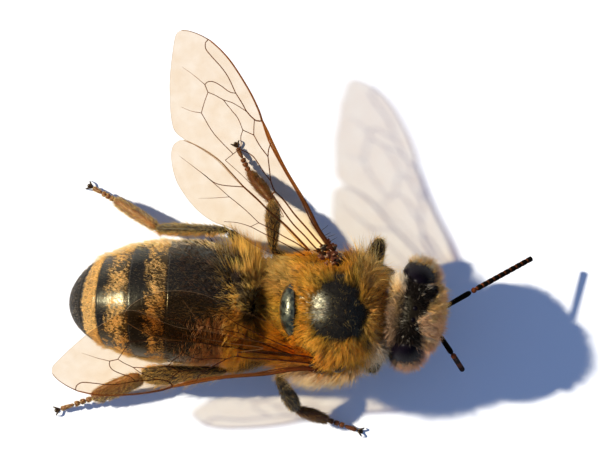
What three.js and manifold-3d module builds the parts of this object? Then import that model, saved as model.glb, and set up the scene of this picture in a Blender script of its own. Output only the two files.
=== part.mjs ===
// A worker honey bee, life size, standing still on its six feet with its left wings spread.
// Millimetres, +Z up, the floor at z = 0. +X is forward and +Y is the bee's left.
// The solids give the outline of the body out to the tips of its hairs.

import * as THREE from 'three';
import { mergeVertices } from 'three/addons/utils/BufferGeometryUtils.js';
import Module from 'manifold-3d';

const wasm = await Module();
wasm.setup();

// ---------------------------------------------------------------- driving dimensions

// The body is drawn about the middle of its thorax. This puts the origin under the middle
// of the whole bee.
const BODY_PLACE = [1.9, -2.7, 0];

const GAP = 0.04; // between neighbouring pieces
const SMALLEST_EDGE = 0.015;
const LIMB_RADIUS = 0.25; // no feeler or leg is thinner than 0.5 across
const FLOOR_DEPTH = 2;
const FLOOR_SIZE = 40;

const HEAD = {
  centre: [2.35, 0.03],
  yaw: -11,
  // height above the floor, half width, half depth
  levels: [
    [0.98, 0.5, 0.34],
    [1.35, 0.9, 0.66],
    [1.95, 1.35, 0.92],
    [2.6, 1.74, 1.06],
    [3.3, 1.92, 1.12],
    [3.95, 1.84, 1.06],
    [4.45, 1.46, 0.86],
    [4.78, 0.75, 0.46],
  ],
};
const EYE = { forward: -0.04, aside: 1.43, level: 3.2, size: [0.64, 0.6, 1.22], lean: 13 };
const MANDIBLE = { root: [0.35, 0.52, 1.12], tip: [0.52, 0.3, 0.52] };
const PROBOSCIS = [
  [0.12, 0, 0.98, 0.3, 0.28],
  [-0.35, 0, 0.8, 0.3, 0.26],
  [-1.05, 0, 0.86, 0.25, 0.25],
];
const NECK = [
  [0.9, 0, 3.05, 0.55, 0.6],
  [1.75, 0.02, 3.0, 0.5, 0.55],
];

const THORAX = { centre: [-0.62, -0.06, 3.04], size: [2.04, 2.36, 1.98] };
const SCUTELLUM = { centre: [-1.92, 0.08, 4.06], size: [0.5, 1.05, 0.56] };
const PROPODEUM = { centre: [-2.3, 0.08, 2.86], size: [0.82, 1.62, 1.22] };
const TEGULA = { centre: [-0.12, 1.86, 3.86], size: [0.42, 0.4, 0.34] };
const PETIOLE = [
  [-2.7, 0.11, 2.7, 0.42, 0.42],
  [-3.5, 0.16, 2.74, 0.42, 0.42],
];

// The abdomen's middle line, with its half width and half height. ABDOMEN_SEAMS are the
// numbers of the stations where its rings meet.
const ABDOMEN = [
  [-3.2, 0.15, 2.76, 1.0, 0.85],
  [-3.62, 0.2, 2.82, 1.55, 1.38],
  [-4.7, 0.32, 2.88, 2.12, 1.82],
  [-6.02, 0.4, 2.88, 2.18, 1.88],
  [-7.12, 0.42, 2.76, 2.02, 1.8],
  [-8.05, 0.42, 2.5, 1.66, 1.5],
  [-8.45, 0.42, 2.26, 1.4, 1.24],
  [-8.84, 0.42, 1.88, 0.98, 0.86],
  [-9.16, 0.42, 1.45, 0.34, 0.32],
];
const ABDOMEN_SEAMS = [0, 1, 3, 4, 5, 5.6, 8];

// Feelers: socket, elbow and tip.
const ANTENNAE = {
  left: { socket: [3.28, 0.1, 2.92], elbow: [4.41, 0.76, 2.86], tip: [6.2, 1.73, 1.64] },
  right: { socket: [3.18, -0.62, 2.95], elbow: [3.71, -1.49, 3.35], tip: [4.0, -1.93, 1.0] },
};

// Each leg from hip to foot. The foot's height is the middle of its last piece.
const FOOT_LEVEL = 0.19;
const LEGS = {
  front_left: [
    [0.9, 0.5, 1.7],
    [0.72, 0.82, 1.35],
    [1.17, 2.42, 2.6],
    [1.22, 1.75, 1.2],
    [2.05, 1.25, 0.5],
    [2.9, 0.85, FOOT_LEVEL],
  ],
  front_right: [
    [0.9, -0.5, 1.7],
    [0.72, -0.82, 1.35],
    [0.9, -1.98, 2.6],
    [1.15, -1.5, 1.2],
    [2.0, -1.2, 0.5],
    [2.85, -0.85, FOOT_LEVEL],
  ],
  middle_left: [
    [-0.9, 0.8, 1.4],
    [-1.3, 1.2, 1.15],
    [-2.48, 2.15, 2.5],
    [-2.48, 3.79, 1.2],
    [-3.31, 4.83, 0.5],
    [-3.8, 5.84, FOOT_LEVEL],
  ],
  middle_right: [
    [-0.9, -0.8, 1.4],
    [-1.3, -1.2, 1.15],
    [-2.31, -2.24, 2.45],
    [-1.69, -3.34, 1.2],
    [-0.59, -3.72, 0.5],
    [0.6, -4.12, FOOT_LEVEL],
  ],
  hind_left: [
    [-2.0, 0.6, 1.5],
    [-2.42, 0.95, 1.15],
    [-3.96, 2.82, 2.35],
    [-6.42, 2.88, 1.2],
    [-7.93, 3.86, 0.5],
    [-8.84, 4.38, FOOT_LEVEL],
  ],
  hind_right: [
    [-1.75, -0.7, 1.5],
    [-2.05, -1.15, 1.15],
    [-4.05, -2.02, 2.2],
    [-6.97, -2.22, 1.2],
    [-8.7, -2.97, 0.5],
    [-10.04, -3.43, FOOT_LEVEL],
  ],
};
// The flat shin and first foot joint of the right hind leg lean in at the top.
const BLADES = ['tibia', 'basitarsus'];
const BLADE_RISE = { hind_right: [0, 0.8, 1] };
// Half width and half height along each piece of a leg, from its upper to its lower end.
const LEG_GIRTH = {
  front: {
    coxa: [[0.42, 0.42], [0.36, 0.36]],
    femur: [[0.28, 0.28], [0.34, 0.36], [0.28, 0.28]],
    tibia: [[0.26, 0.26], [0.3, 0.3], [0.3, 0.32]],
    basitarsus: [[0.27, 0.27], [0.28, 0.28]],
    tarsus: [[0.26, 0.26], [0.25, 0.25], [0.26, 0.26]],
  },
  middle: {
    coxa: [[0.44, 0.44], [0.36, 0.36]],
    femur: [[0.3, 0.3], [0.36, 0.38], [0.28, 0.28]],
    tibia: [[0.26, 0.26], [0.32, 0.34], [0.34, 0.36]],
    basitarsus: [[0.28, 0.3], [0.3, 0.34]],
    tarsus: [[0.26, 0.26], [0.25, 0.25], [0.26, 0.26]],
  },
  hind: {
    coxa: [[0.48, 0.48], [0.38, 0.38]],
    femur: [[0.32, 0.32], [0.36, 0.42], [0.3, 0.3]],
    tibia: [[0.27, 0.28], [0.3, 0.46], [0.32, 0.6]],
    basitarsus: [[0.3, 0.52], [0.3, 0.46]],
    tarsus: [[0.26, 0.26], [0.25, 0.25], [0.26, 0.26]],
  },
};

// Wings are drawn in a plane: u runs from the hinge to the tip, v towards the leading edge.
const WING_THICKNESS = 0.5;
const WING_BELOW = 0.12; // how much of that lies under the real membrane
// Each station of an outline has its u, then the v of the trailing edge and the leading edge.
const FOREWING = [
  [0.1, -0.3, 0.06],
  [1.05, -0.66, 0.06],
  [2.4, -0.84, 0.19],
  [3.86, -1.14, 0.36],
  [5.48, -1.7, 0.68],
  [6.34, -2.1, 0.8],
  [7.12, -1.82, 0.82],
  [7.75, -1.42, 0.77],
  [8.27, -1.04, 0.65],
  [8.7, -0.66, 0.43],
  [9.02, -0.34, 0.18],
  [9.14, -0.16, 0.02],
];
const HINDWING = [
  [0.36, -0.96, -0.62],
  [0.78, -1.48, -0.7],
  [1.75, -2.15, -0.87],
  [2.68, -2.52, -1.07],
  [3.6, -2.97, -1.29],
  [4.53, -3.1, -1.38],
  [5.1, -3.04, -1.56],
  [5.6, -2.85, -1.79],
  [5.95, -2.6, -1.95],
  [6.1, -2.42, -2.14],
];
// Spread wings lie flat and rise to the tip. Folded wings lie over the abdomen like a roof,
// with the hindwing slid out and under the forewing.
const WINGS = {
  left: {
    hinge: [-0.41, 2.14, 4.1],
    heading: 124.8,
    hind: { turn: 0, out: 0, aside: 0 },
    height: (u) => 0.088 * u,
  },
  right: {
    hinge: [-0.9, -1.95, 3.94],
    heading: 180.7,
    hind: { turn: 2, out: 0.46, aside: 0.16 },
    height: (u, v) => 0.012 * u - 0.58 * v - 0.05 * v * v,
  },
};

const COLOURS = {
  cuticle: ['#241a14', 0.35, 0],
  hair: ['#b9894a', 0.9, 0],
  eye: ['#17110e', 0.3, 0],
  horn: ['#5a3016', 0.45, 0],
  leg: ['#3a2416', 0.5, 0],
  membrane: ['#c9a27c', 0.25, 0],
};

// ---------------------------------------------------------------- making solids

const UP = new THREE.Vector3(0, 0, 1);
const FORWARD = new THREE.Vector3(1, 0, 0);
const materials = Object.fromEntries(
  Object.entries(COLOURS).map(([name, [color, roughness, metalness]]) => [
    name,
    new THREE.MeshStandardMaterial({ name, color, roughness, metalness }),
  ]),
);

// Moves each vertex of a closed geometry with place, and makes a solid of the result.
function solid(geometry, place) {
  const shape = geometry.clone();
  const { position } = shape.attributes;
  const point = new THREE.Vector3();
  for (let k = 0; k < position.count; k += 1) {
    point.fromBufferAttribute(position, k);
    place(point);
    position.setXYZ(k, point.x, point.y, point.z);
  }
  shape.deleteAttribute('normal');
  shape.deleteAttribute('uv');
  const merged = mergeVertices(shape, 1e-4);
  return new wasm.Manifold(
    new wasm.Mesh({
      numProp: 3,
      vertProperties: new Float32Array(merged.attributes.position.array),
      triVerts: new Uint32Array(merged.index.array),
    }),
  );
}

// A body swept along stations of [x, y, z, half width, half height]. bluntness rounds off both
// ends, the more the lower it is, and without it they are flat. from and to are numbers of
// stations.
function sweep(stations, grow, options = {}) {
  const { sides = 8, steps = 4, bluntness = 0, up = UP } = options;
  const { from = 0, to = stations.length - 1 } = options;
  const path = new THREE.CatmullRomCurve3(stations.map(([x, y, z]) => new THREE.Vector3(x, y, z)));
  const girth = new THREE.CatmullRomCurve3(stations.map((s) => new THREE.Vector3(s[3], s[4], 0)));
  const last = stations.length - 1;
  return solid(new THREE.CylinderGeometry(1, 1, 1, sides, steps), (point) => {
    const way = point.y + 0.5;
    const eased = bluntness ? (1 - Math.cos(Math.PI * way)) / 2 : way;
    const at = (from + (to - from) * eased) / last;
    const rounding = bluntness
      ? Math.sqrt(Math.max(0.12, 1 - Math.abs(2 * eased - 1) ** bluntness))
      : 1;
    const tangent = path.getTangent(at);
    const rise = up.clone().addScaledVector(tangent, -up.dot(tangent)).normalize();
    const side = tangent.clone().cross(rise);
    const { x: width, y: height } = girth.getPoint(at);
    const across = point.x * (width * rounding + grow);
    const above = point.z * (height * rounding + grow);
    point.copy(path.getPoint(at)).addScaledVector(side, across).addScaledVector(rise, above);
    point.addScaledVector(tangent, grow * (2 * way - 1));
  });
}

// An ellipsoid of half sizes size, leant about the x axis of its own place.
function ellipsoid(centre, size, grow, { sides = 16, rows = 10, lean = 0 } = {}) {
  const middle = new THREE.Vector3(...centre);
  const spread = new THREE.Vector3(...size).addScalar(grow);
  return solid(new THREE.SphereGeometry(1, sides, rows), (point) => {
    point.set(point.x, -point.z, point.y).multiply(spread);
    point.applyAxisAngle(FORWARD, THREE.MathUtils.degToRad(lean)).add(middle);
  });
}

// Turns a solid with the head about the upright line through the head's middle.
function withHead(shape) {
  const [x, y] = HEAD.centre;
  return shape.rotate([0, 0, HEAD.yaw]).translate([x, y, 0]);
}

function largest(shape) {
  const bodies = shape.decompose();
  return bodies.reduce((best, body) => (body.volume() > best.volume() ? body : best));
}

// Cuts a piece clear of its neighbours, which are functions that make them a gap larger.
function clearOf(shape, ...neighbours) {
  const cut = neighbours.reduce((left, neighbour) => left.subtract(neighbour(GAP)), shape);
  return largest(cut.simplify(SMALLEST_EDGE));
}

function aboveFloor(shape) {
  const floor = solid(new THREE.BoxGeometry(FLOOR_SIZE, FLOOR_SIZE, FLOOR_DEPTH), (point) => {
    point.z -= FLOOR_DEPTH / 2;
  });
  return largest(shape.subtract(floor));
}

const bee = new THREE.Group();
bee.position.set(...BODY_PLACE);

function node(name, shape, material) {
  const { vertProperties, triVerts } = shape.getMesh();
  const geometry = new THREE.BufferGeometry();
  geometry.setAttribute('position', new THREE.BufferAttribute(vertProperties, 3));
  geometry.setIndex(new THREE.BufferAttribute(triVerts, 1));
  geometry.computeVertexNormals();
  const mesh = new THREE.Mesh(geometry, materials[material]);
  mesh.name = name;
  bee.add(mesh);
}

const SIDES = [
  ['left', 1],
  ['right', -1],
];

// ---------------------------------------------------------------- shapes, each grown by a margin

function headShape(grow) {
  const stations = HEAD.levels.map(([level, width, depth]) => [0, 0, level, width, depth]);
  const options = { sides: 20, steps: 10, bluntness: 14, up: FORWARD };
  return withHead(sweep(stations, grow, options));
}

function eyeShape(hand, grow) {
  const centre = [EYE.forward, hand * EYE.aside, EYE.level];
  const options = { sides: 14, rows: 10, lean: hand * EYE.lean };
  return withHead(ellipsoid(centre, EYE.size, grow, options));
}

function mandibleShape(hand, grow) {
  const [rootX, rootY, rootZ] = MANDIBLE.root;
  const [tipX, tipY, tipZ] = MANDIBLE.tip;
  const stations = [
    [rootX, hand * rootY, rootZ, 0.26, 0.3],
    [tipX, hand * tipY, tipZ, 0.25, 0.27],
  ];
  const options = { bluntness: 6, up: FORWARD };
  return withHead(sweep(stations, grow, options));
}

const proboscisShape = (grow) => withHead(sweep(PROBOSCIS, grow, { bluntness: 6 }));
const neckShape = (grow) => sweep(NECK, grow, { sides: 12, steps: 1 });

function scapeShape(side, grow) {
  const { socket, elbow } = ANTENNAE[side];
  const stations = [socket, elbow].map((place) => [...place, LIMB_RADIUS, LIMB_RADIUS]);
  return sweep(stations, grow, { bluntness: 10 });
}

function flagellumShape(side, grow) {
  const { elbow, tip } = ANTENNAE[side];
  const stations = [elbow, tip].map((place) => [...place, LIMB_RADIUS, LIMB_RADIUS]);
  return sweep(stations, grow, { bluntness: 14 });
}

const thoraxShape = (grow) =>
  ellipsoid(THORAX.centre, THORAX.size, grow, { sides: 22, rows: 12 });
const scutellumShape = (grow) =>
  ellipsoid(SCUTELLUM.centre, SCUTELLUM.size, grow, { sides: 14, rows: 8 });
const propodeumShape = (grow) => ellipsoid(PROPODEUM.centre, PROPODEUM.size, grow);
const petioleShape = (grow) => sweep(PETIOLE, grow, { sides: 12, steps: 1 });

function tegulaShape(hand, grow) {
  const [x, y, z] = TEGULA.centre;
  return ellipsoid([x, hand * y, z], TEGULA.size, grow, { sides: 10, rows: 6 });
}

// Ring number k of the abdomen, counted from the waist.
function abdomenShape(k, grow) {
  const from = ABDOMEN_SEAMS[k] + (k ? GAP / 2 : 0);
  const to = ABDOMEN_SEAMS[k + 1] - GAP / 2;
  const steps = Math.max(2, Math.round((to - from) * 2.5));
  return sweep(ABDOMEN, grow, { sides: 20, steps, from, to });
}

// The whole abdomen as one, to cut its neighbours clear.
const abdomenWhole = (grow) => sweep(ABDOMEN, grow, { sides: 20, steps: 12 });

function direction(degrees) {
  const angle = THREE.MathUtils.degToRad(degrees);
  return [Math.cos(angle), Math.sin(angle)];
}

// A wing's plate, turned and slid in the plane of its pair. It follows the pair's height.
function wingShape(side, outline, grow, { turn, out, aside } = { turn: 0, out: 0, aside: 0 }) {
  const { hinge, heading, height } = WINGS[side];
  const hand = side === 'left' ? 1 : -1;
  const [uX, uY] = direction(heading);
  const [vX, vY] = [hand * uY, -hand * uX];
  const [turnX, turnY] = direction(-hand * turn);
  const stations = outline.map(([u, trail, lead]) => new THREE.Vector3(u, trail, lead));
  const edges = new THREE.CatmullRomCurve3(stations);
  const plate = new THREE.BoxGeometry(1, 1, 1, 14, 4, 1);
  return solid(plate, (point) => {
    const { x: u, y: trail, z: lead } = edges.getPoint(point.x + 0.5);
    const width = THREE.MathUtils.lerp(trail - grow, lead + grow, point.y + 0.5) + aside;
    const length = u + out + grow * 2 * point.x;
    const reach = length * turnX - width * turnY;
    const v = length * turnY + width * turnX;
    const upper = point.z * -hand > 0;
    const offset = upper ? WING_THICKNESS - WING_BELOW + grow : -WING_BELOW - grow;
    point.set(
      hinge[0] + reach * uX + v * vX,
      hinge[1] + reach * uY + v * vY,
      hinge[2] + height(reach, v) + offset,
    );
  });
}

const forewingShape = (side, grow) => wingShape(side, FOREWING, grow);
const hindwingShape = (side, grow) => wingShape(side, HINDWING, grow, WINGS[side].hind);

// One piece of a leg, between two of its joints. The tarsus lies level from its middle on.
function legShape(leg, piece, grow) {
  const girths = LEG_GIRTH[leg.split('_')[0]][piece];
  const number = ['coxa', 'femur', 'tibia', 'basitarsus', 'tarsus'].indexOf(piece);
  const upper = new THREE.Vector3(...LEGS[leg][number]);
  const lower = new THREE.Vector3(...LEGS[leg][number + 1]);
  const stations = girths.map((girth, k) => {
    const place = upper.clone().lerp(lower, k / (girths.length - 1));
    const level = k && piece === 'tarsus' ? FOOT_LEVEL : place.z;
    return [place.x, place.y, level, ...girth];
  });
  const leans = leg in BLADE_RISE && BLADES.includes(piece);
  const up = leans ? new THREE.Vector3(...BLADE_RISE[leg]).normalize() : UP;
  return sweep(stations, grow, { bluntness: 8, up });
}

// ---------------------------------------------------------------- the bee

function buildHead() {
  const eyes = SIDES.map(([, hand]) => (grow) => eyeShape(hand, grow));
  node('head', clearOf(headShape(0), ...eyes, neckShape), 'hair');
  for (const [side, hand] of SIDES) {
    node(`eye_${side}`, eyeShape(hand, 0), 'eye');
    const mandible = clearOf(mandibleShape(hand, 0), headShape, proboscisShape);
    node(`mandible_${side}`, mandible, 'horn');
  }
  node('proboscis', clearOf(proboscisShape(0), headShape), 'horn');
  node('neck', neckShape(0), 'cuticle');
}

function buildAntennae() {
  for (const [side] of SIDES) {
    const scape = (grow) => scapeShape(side, grow);
    node(`antenna_${side}_scape`, clearOf(scape(0), headShape), 'cuticle');
    node(`antenna_${side}_flagellum`, clearOf(flagellumShape(side, 0), scape), 'cuticle');
  }
}

function buildThorax() {
  const tegulae = SIDES.map(([, hand]) => (grow) => tegulaShape(hand, grow));
  const thorax = clearOf(thoraxShape(0), scutellumShape, neckShape, headShape, ...tegulae);
  node('thorax', thorax, 'hair');
  node('scutellum', scutellumShape(0), 'cuticle');
  node('propodeum', clearOf(propodeumShape(0), thoraxShape, scutellumShape, petioleShape), 'hair');
  for (const [side, hand] of SIDES) node(`tegula_${side}`, tegulaShape(hand, 0), 'cuticle');
}

function buildAbdomen() {
  node('petiole', petioleShape(0), 'cuticle');
  for (let k = 0; k < ABDOMEN_SEAMS.length - 1; k += 1) {
    const ring = clearOf(abdomenShape(k, 0), petioleShape);
    node(`abdomen_segment_${k + 1}`, ring, k ? 'cuticle' : 'hair');
  }
}

function buildWings() {
  for (const [side, hand] of SIDES) {
    const body = [thoraxShape, scutellumShape, propodeumShape, abdomenWhole];
    const tegula = (grow) => tegulaShape(hand, grow);
    const forewing = (grow) => forewingShape(side, grow);
    node(`forewing_${side}`, clearOf(forewing(0), ...body, tegula), 'membrane');
    node(
      `hindwing_${side}`,
      clearOf(hindwingShape(side, 0), ...body, tegula, forewing),
      'membrane',
    );
  }
}

function buildLegs() {
  const body = [thoraxShape, propodeumShape, abdomenWhole, headShape, neckShape];
  for (const leg of Object.keys(LEGS)) {
    let before = null;
    for (const piece of ['coxa', 'femur', 'tibia', 'basitarsus', 'tarsus']) {
      const neighbours = before ? [...body, before] : body;
      const shape = aboveFloor(clearOf(legShape(leg, piece, 0), ...neighbours));
      node(`leg_${leg}_${piece}`, shape, 'leg');
      before = (grow) => legShape(leg, piece, grow);
    }
  }
}

buildHead();
buildAntennae();
buildThorax();
buildAbdomen();
buildWings();
buildLegs();

export default bee;
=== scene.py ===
"""The looks of a life-size worker honey bee, built round its CAD solids.

Shapes are worked out in millimetres in the bee's own frame, whose x runs forward, y to the
bee's left and z up from the floor, and piece() turns them into metres in the shared frame.
"""

import math

import bpy
import numpy as np
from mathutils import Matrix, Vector, kdtree


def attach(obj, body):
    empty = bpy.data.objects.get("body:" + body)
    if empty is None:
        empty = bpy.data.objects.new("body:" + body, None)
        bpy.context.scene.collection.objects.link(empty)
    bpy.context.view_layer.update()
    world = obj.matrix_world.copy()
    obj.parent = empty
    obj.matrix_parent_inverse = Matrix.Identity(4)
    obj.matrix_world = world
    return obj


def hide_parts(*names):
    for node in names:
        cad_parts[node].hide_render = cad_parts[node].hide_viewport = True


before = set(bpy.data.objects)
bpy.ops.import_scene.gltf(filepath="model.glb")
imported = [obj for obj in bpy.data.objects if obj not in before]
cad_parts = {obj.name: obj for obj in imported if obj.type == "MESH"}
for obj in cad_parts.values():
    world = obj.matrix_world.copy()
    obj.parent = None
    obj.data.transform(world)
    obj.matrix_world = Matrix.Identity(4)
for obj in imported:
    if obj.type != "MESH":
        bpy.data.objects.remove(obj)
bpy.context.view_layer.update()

MM = 0.001
PLACE = np.array([1.9, -2.7, 0.0])  # the bee's own frame in the shared one, as in the CAD
UP = np.array([0.0, 0.0, 1.0])

# ---------------------------------------------------------------- sizes, in mm

HEAD_CENTRE = np.array([2.35, -0.05, 0.0])
HEAD_YAW = math.radians(-11)
# height, half width, depth in front of and behind the upright line through the head
HEAD_LEVELS = [
    [1.0, 0.3, 0.3, 0.22],
    [1.2, 0.66, 0.52, 0.42],
    [1.6, 0.98, 0.8, 0.56],
    [2.1, 1.22, 0.9, 0.66],
    [2.7, 1.4, 0.88, 0.72],
    [3.3, 1.44, 0.84, 0.74],
    [3.9, 1.36, 0.78, 0.7],
    [4.3, 1.12, 0.62, 0.56],
    [4.5, 0.8, 0.44, 0.38],
    [4.6, 0.3, 0.16, 0.14],
]
EYE_PLACE = np.array([-0.02, 1.33, 3.2])
EYE_SIZE = np.array([0.62, 0.52, 1.2])
EYE_LEAN = math.radians(13)

# x, y, middle height, half width, height above and below the middle
THORAX = [
    [1.5, 0.02, 3.02, 0.3, 0.3, 0.3],
    [1.28, 0.02, 3.02, 0.62, 0.62, 0.66],
    [1.0, 0.0, 3.02, 1.12, 1.02, 1.16],
    [0.6, 0.0, 3.02, 1.5, 1.42, 1.5],
    [0.05, -0.02, 3.02, 1.74, 1.78, 1.68],
    [-0.6, -0.04, 3.02, 1.84, 1.74, 1.7],
    [-1.2, -0.04, 3.02, 1.8, 1.48, 1.6],
    [-1.58, 0.0, 3.02, 1.7, 1.28, 1.5],
    [-1.9, 0.04, 3.0, 1.6, 1.16, 1.42],
    [-2.25, 0.06, 2.96, 1.44, 0.98, 1.3],
    [-2.6, 0.08, 2.88, 1.16, 0.66, 1.04],
    [-2.9, 0.11, 2.78, 0.74, 0.42, 0.66],
    [-3.1, 0.13, 2.74, 0.42, 0.34, 0.4],
    [-3.4, 0.15, 2.74, 0.36, 0.32, 0.34],
]
DISC_CENTRE = np.array([-0.17, 0.05])  # the bare middle of the back, seen from above
DISC_SIZE = np.array([0.98, 1.2])
SCUTELLUM_PLACE = np.array([-1.78, 0.08, 3.92])
SCUTELLUM_SIZE = np.array([0.48, 0.96, 0.56])
SCUTELLUM_FRONT = 0.3  # how far it bulges forward, as a share of how far it bulges back
TEGULA_PLACE = np.array([-0.26, 1.8, 3.84])
TEGULA_SIZE = np.array([0.3, 0.26, 0.2])

# x, y, z, half width, half height of the abdomen out to its hairs, as in the CAD
ABDOMEN = [
    [-3.2, 0.15, 2.76, 1.0, 0.85],
    [-3.62, 0.2, 2.82, 1.55, 1.38],
    [-4.7, 0.32, 2.88, 2.12, 1.82],
    [-6.02, 0.4, 2.88, 2.18, 1.88],
    [-7.12, 0.42, 2.76, 2.02, 1.8],
    [-8.05, 0.42, 2.5, 1.66, 1.5],
    [-8.45, 0.42, 2.26, 1.4, 1.24],
    [-8.84, 0.42, 1.88, 0.98, 0.86],
    [-9.16, 0.42, 1.45, 0.34, 0.32],
]
ABDOMEN_SEAMS = [0, 1, 3, 4, 5, 5.6, 8]
ABDOMEN_SKIN = 0.945  # the shell's size as a share of the outline
ABDOMEN_LEAN = -0.14  # how far the back of the abdomen leans to the bee's left, per mm of height

ANTENNAE = {
    "left": ([3.2, 0.06, 2.92], [4.41, 0.76, 2.9], [6.41, 1.85, 1.55]),
    "right": ([3.1, -0.58, 2.95], [3.71, -1.49, 3.38], [4.03, -1.97, 0.95]),
}

# hip, end of the trochanter, knee, ankle, end of the basitarsus, tip of the foot
LEGS = {
    "front_left": [
        [0.9, 0.5, 1.7], [0.72, 0.82, 1.35], [1.17, 2.46, 2.6],
        [1.08, 1.62, 1.2], [1.92, 1.1, 0.42], [2.9, 0.8, 0.09],
    ],
    "front_right": [
        [0.9, -0.5, 1.7], [0.72, -0.82, 1.35], [0.9, -1.94, 2.6],
        [1.15, -1.5, 1.2], [2.0, -1.2, 0.42], [2.9, -0.8, 0.09],
    ],
    "middle_left": [
        [-0.9, 0.8, 1.4], [-1.3, 1.2, 1.15], [-2.48, 2.12, 2.5],
        [-2.48, 3.79, 1.2], [-3.31, 4.83, 0.42], [-3.82, 5.9, 0.09],
    ],
    "middle_right": [
        [-0.9, -0.8, 1.4], [-1.3, -1.2, 1.15], [-2.31, -2.2, 2.45],
        [-1.69, -3.34, 1.2], [-0.59, -3.72, 0.42], [0.7, -4.17, 0.09],
    ],
    "hind_left": [
        [-2.0, 0.6, 1.5], [-2.42, 0.95, 1.15], [-3.98, 2.82, 2.35],
        [-6.42, 2.88, 1.2], [-7.93, 3.86, 0.5], [-8.9, 4.4, 0.09],
    ],
    "hind_right": [
        [-1.75, -0.7, 1.5], [-2.05, -1.15, 1.15], [-4.05, -2.0, 2.2],
        [-6.97, -2.22, 1.2], [-8.7, -2.97, 0.5], [-10.12, -3.45, 0.09],
    ],
}
# The flat shin and first foot joint of the right hind leg lean in at the top.
BLADE_RISE = {"hind_right": np.array([0.0, 0.8, 1.0])}
# half width and half height from the upper to the lower end of each piece of a leg
LEG_GIRTH = {
    "front": {
        "coxa": [[0.3, 0.3], [0.28, 0.3], [0.17, 0.17]],
        "femur": [[0.13, 0.14], [0.22, 0.26], [0.26, 0.28], [0.22, 0.22]],
        "tibia": [[0.2, 0.2], [0.2, 0.2], [0.19, 0.2], [0.16, 0.17]],
        "basitarsus": [[0.1, 0.11], [0.13, 0.14], [0.11, 0.12]],
    },
    "middle": {
        "coxa": [[0.32, 0.32], [0.3, 0.32], [0.17, 0.17]],
        "femur": [[0.13, 0.14], [0.23, 0.28], [0.21, 0.24], [0.12, 0.13]],
        "tibia": [[0.12, 0.13], [0.19, 0.21], [0.24, 0.26], [0.2, 0.22]],
        "basitarsus": [[0.13, 0.15], [0.2, 0.23], [0.15, 0.18]],
    },
    "hind": {
        "coxa": [[0.36, 0.38], [0.33, 0.36], [0.18, 0.18]],
        "femur": [[0.14, 0.15], [0.24, 0.32], [0.22, 0.28], [0.13, 0.14]],
        "tibia": [[0.12, 0.14], [0.14, 0.3], [0.16, 0.44], [0.15, 0.46]],
        "basitarsus": [[0.15, 0.34], [0.19, 0.4], [0.16, 0.3]],
    },
}

# Wings: u runs from the hinge to the tip and v towards the leading edge.
WINGS = {
    "left": {
        "hinge": [-0.41, 2.14, 4.1],
        "heading": 124.8,
        "hand": 1,
        "height": lambda u, v: 0.088 * u,
        "hind": (0.0, 0.0, 0.0),
    },
    "right": {
        "hinge": [-0.9, -1.95, 3.94],
        "heading": 180.7,
        "hand": -1,
        "height": lambda u, v: 0.012 * u - 0.58 * v - 0.05 * v * v,
        "hind": (2.0, 0.46, 0.16),  # turned by degrees, slid out and slid aside by mm
    },
}
MEMBRANE = 0.014  # thickness
MEMBRANE_BODY = 0.012  # how much of each face of the film is solid
VEIN_BODY = 0.55  # how much of a vein is solid
THIN_VEIN = 0.035  # the radius below which a vein is slimmed
SLIMMING = 0.85
FOREWING = [
    [0.05, -0.3, 0.05],
    [0.5, -0.74, 0.03],
    [1.05, -0.86, 0.04],
    [2.0, -0.98, 0.15],
    [3.07, -1.22, 0.23],
    [3.86, -1.38, 0.34],
    [4.76, -1.52, 0.51],
    [5.48, -1.78, 0.67],
    [6.05, -2.04, 0.76],
    [6.45, -2.13, 0.8],
    [6.9, -1.96, 0.82],
    [7.44, -1.63, 0.8],
    [7.9, -1.32, 0.74],
    [8.27, -1.02, 0.65],
    [8.6, -0.73, 0.48],
    [8.9, -0.45, 0.28],
    [9.08, -0.26, 0.12],
    [9.14, -0.14, -0.02],
]
HINDWING = [
    [0.32, -0.8, -0.66],
    [0.55, -1.15, -0.66],
    [1.0, -1.72, -0.74],
    [1.75, -2.16, -0.87],
    [2.3, -2.34, -1.01],
    [2.68, -2.5, -1.08],
    [3.1, -2.8, -1.18],
    [3.6, -3.0, -1.29],
    [4.1, -3.09, -1.34],
    [4.53, -3.1, -1.38],
    [4.95, -3.07, -1.48],
    [5.35, -2.95, -1.64],
    [5.65, -2.81, -1.8],
    [5.88, -2.66, -1.93],
    [6.03, -2.5, -2.06],
    [6.09, -2.36, -2.2],
]

# ---------------------------------------------------------------- arithmetic


def unit(vectors):
    return vectors / np.maximum(np.linalg.norm(vectors, axis=-1, keepdims=True), 1e-12)


def smooth(low, high, value):
    """0 below low, 1 above high, with an S curve between."""
    t = np.clip((value - low) / (high - low), 0, 1)
    return t * t * (3 - 2 * t)


def blend(low, high, share):
    share = np.asarray(share)[..., None]
    return np.asarray(low) * (1 - share) + np.asarray(high) * share


def spline(stations, at):
    """Values on a smooth line through stations, for at from 0 to the last one's number."""
    rows = np.asarray(stations, float)
    at = np.clip(np.asarray(at, float), 0, len(rows) - 1)
    k = np.minimum(at.astype(int), len(rows) - 2)
    f = (at - k)[..., None]
    rows = np.vstack([2 * rows[0] - rows[1], rows, 2 * rows[-1] - rows[-2]])
    a, b, c, d = rows[k], rows[k + 1], rows[k + 2], rows[k + 3]
    cubic = 3 * b - a - 3 * c + d
    return 0.5 * (2 * b + (c - a) * f + (2 * a - 5 * b + 4 * c - d) * f**2 + cubic * f**3)


def turned(points, angle):
    """Points turned about the upright axis."""
    c, s = math.cos(angle), math.sin(angle)
    x, y, z = np.moveaxis(points, -1, 0)
    return np.stack([c * x - s * y, s * x + c * y, z], -1)


def drift(points, size, seed):
    """A field of directions that changes over about size, which draws hairs into tufts."""
    return np.stack([mottle(points, size, seed + 100 * k) for k in range(3)], -1)


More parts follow.
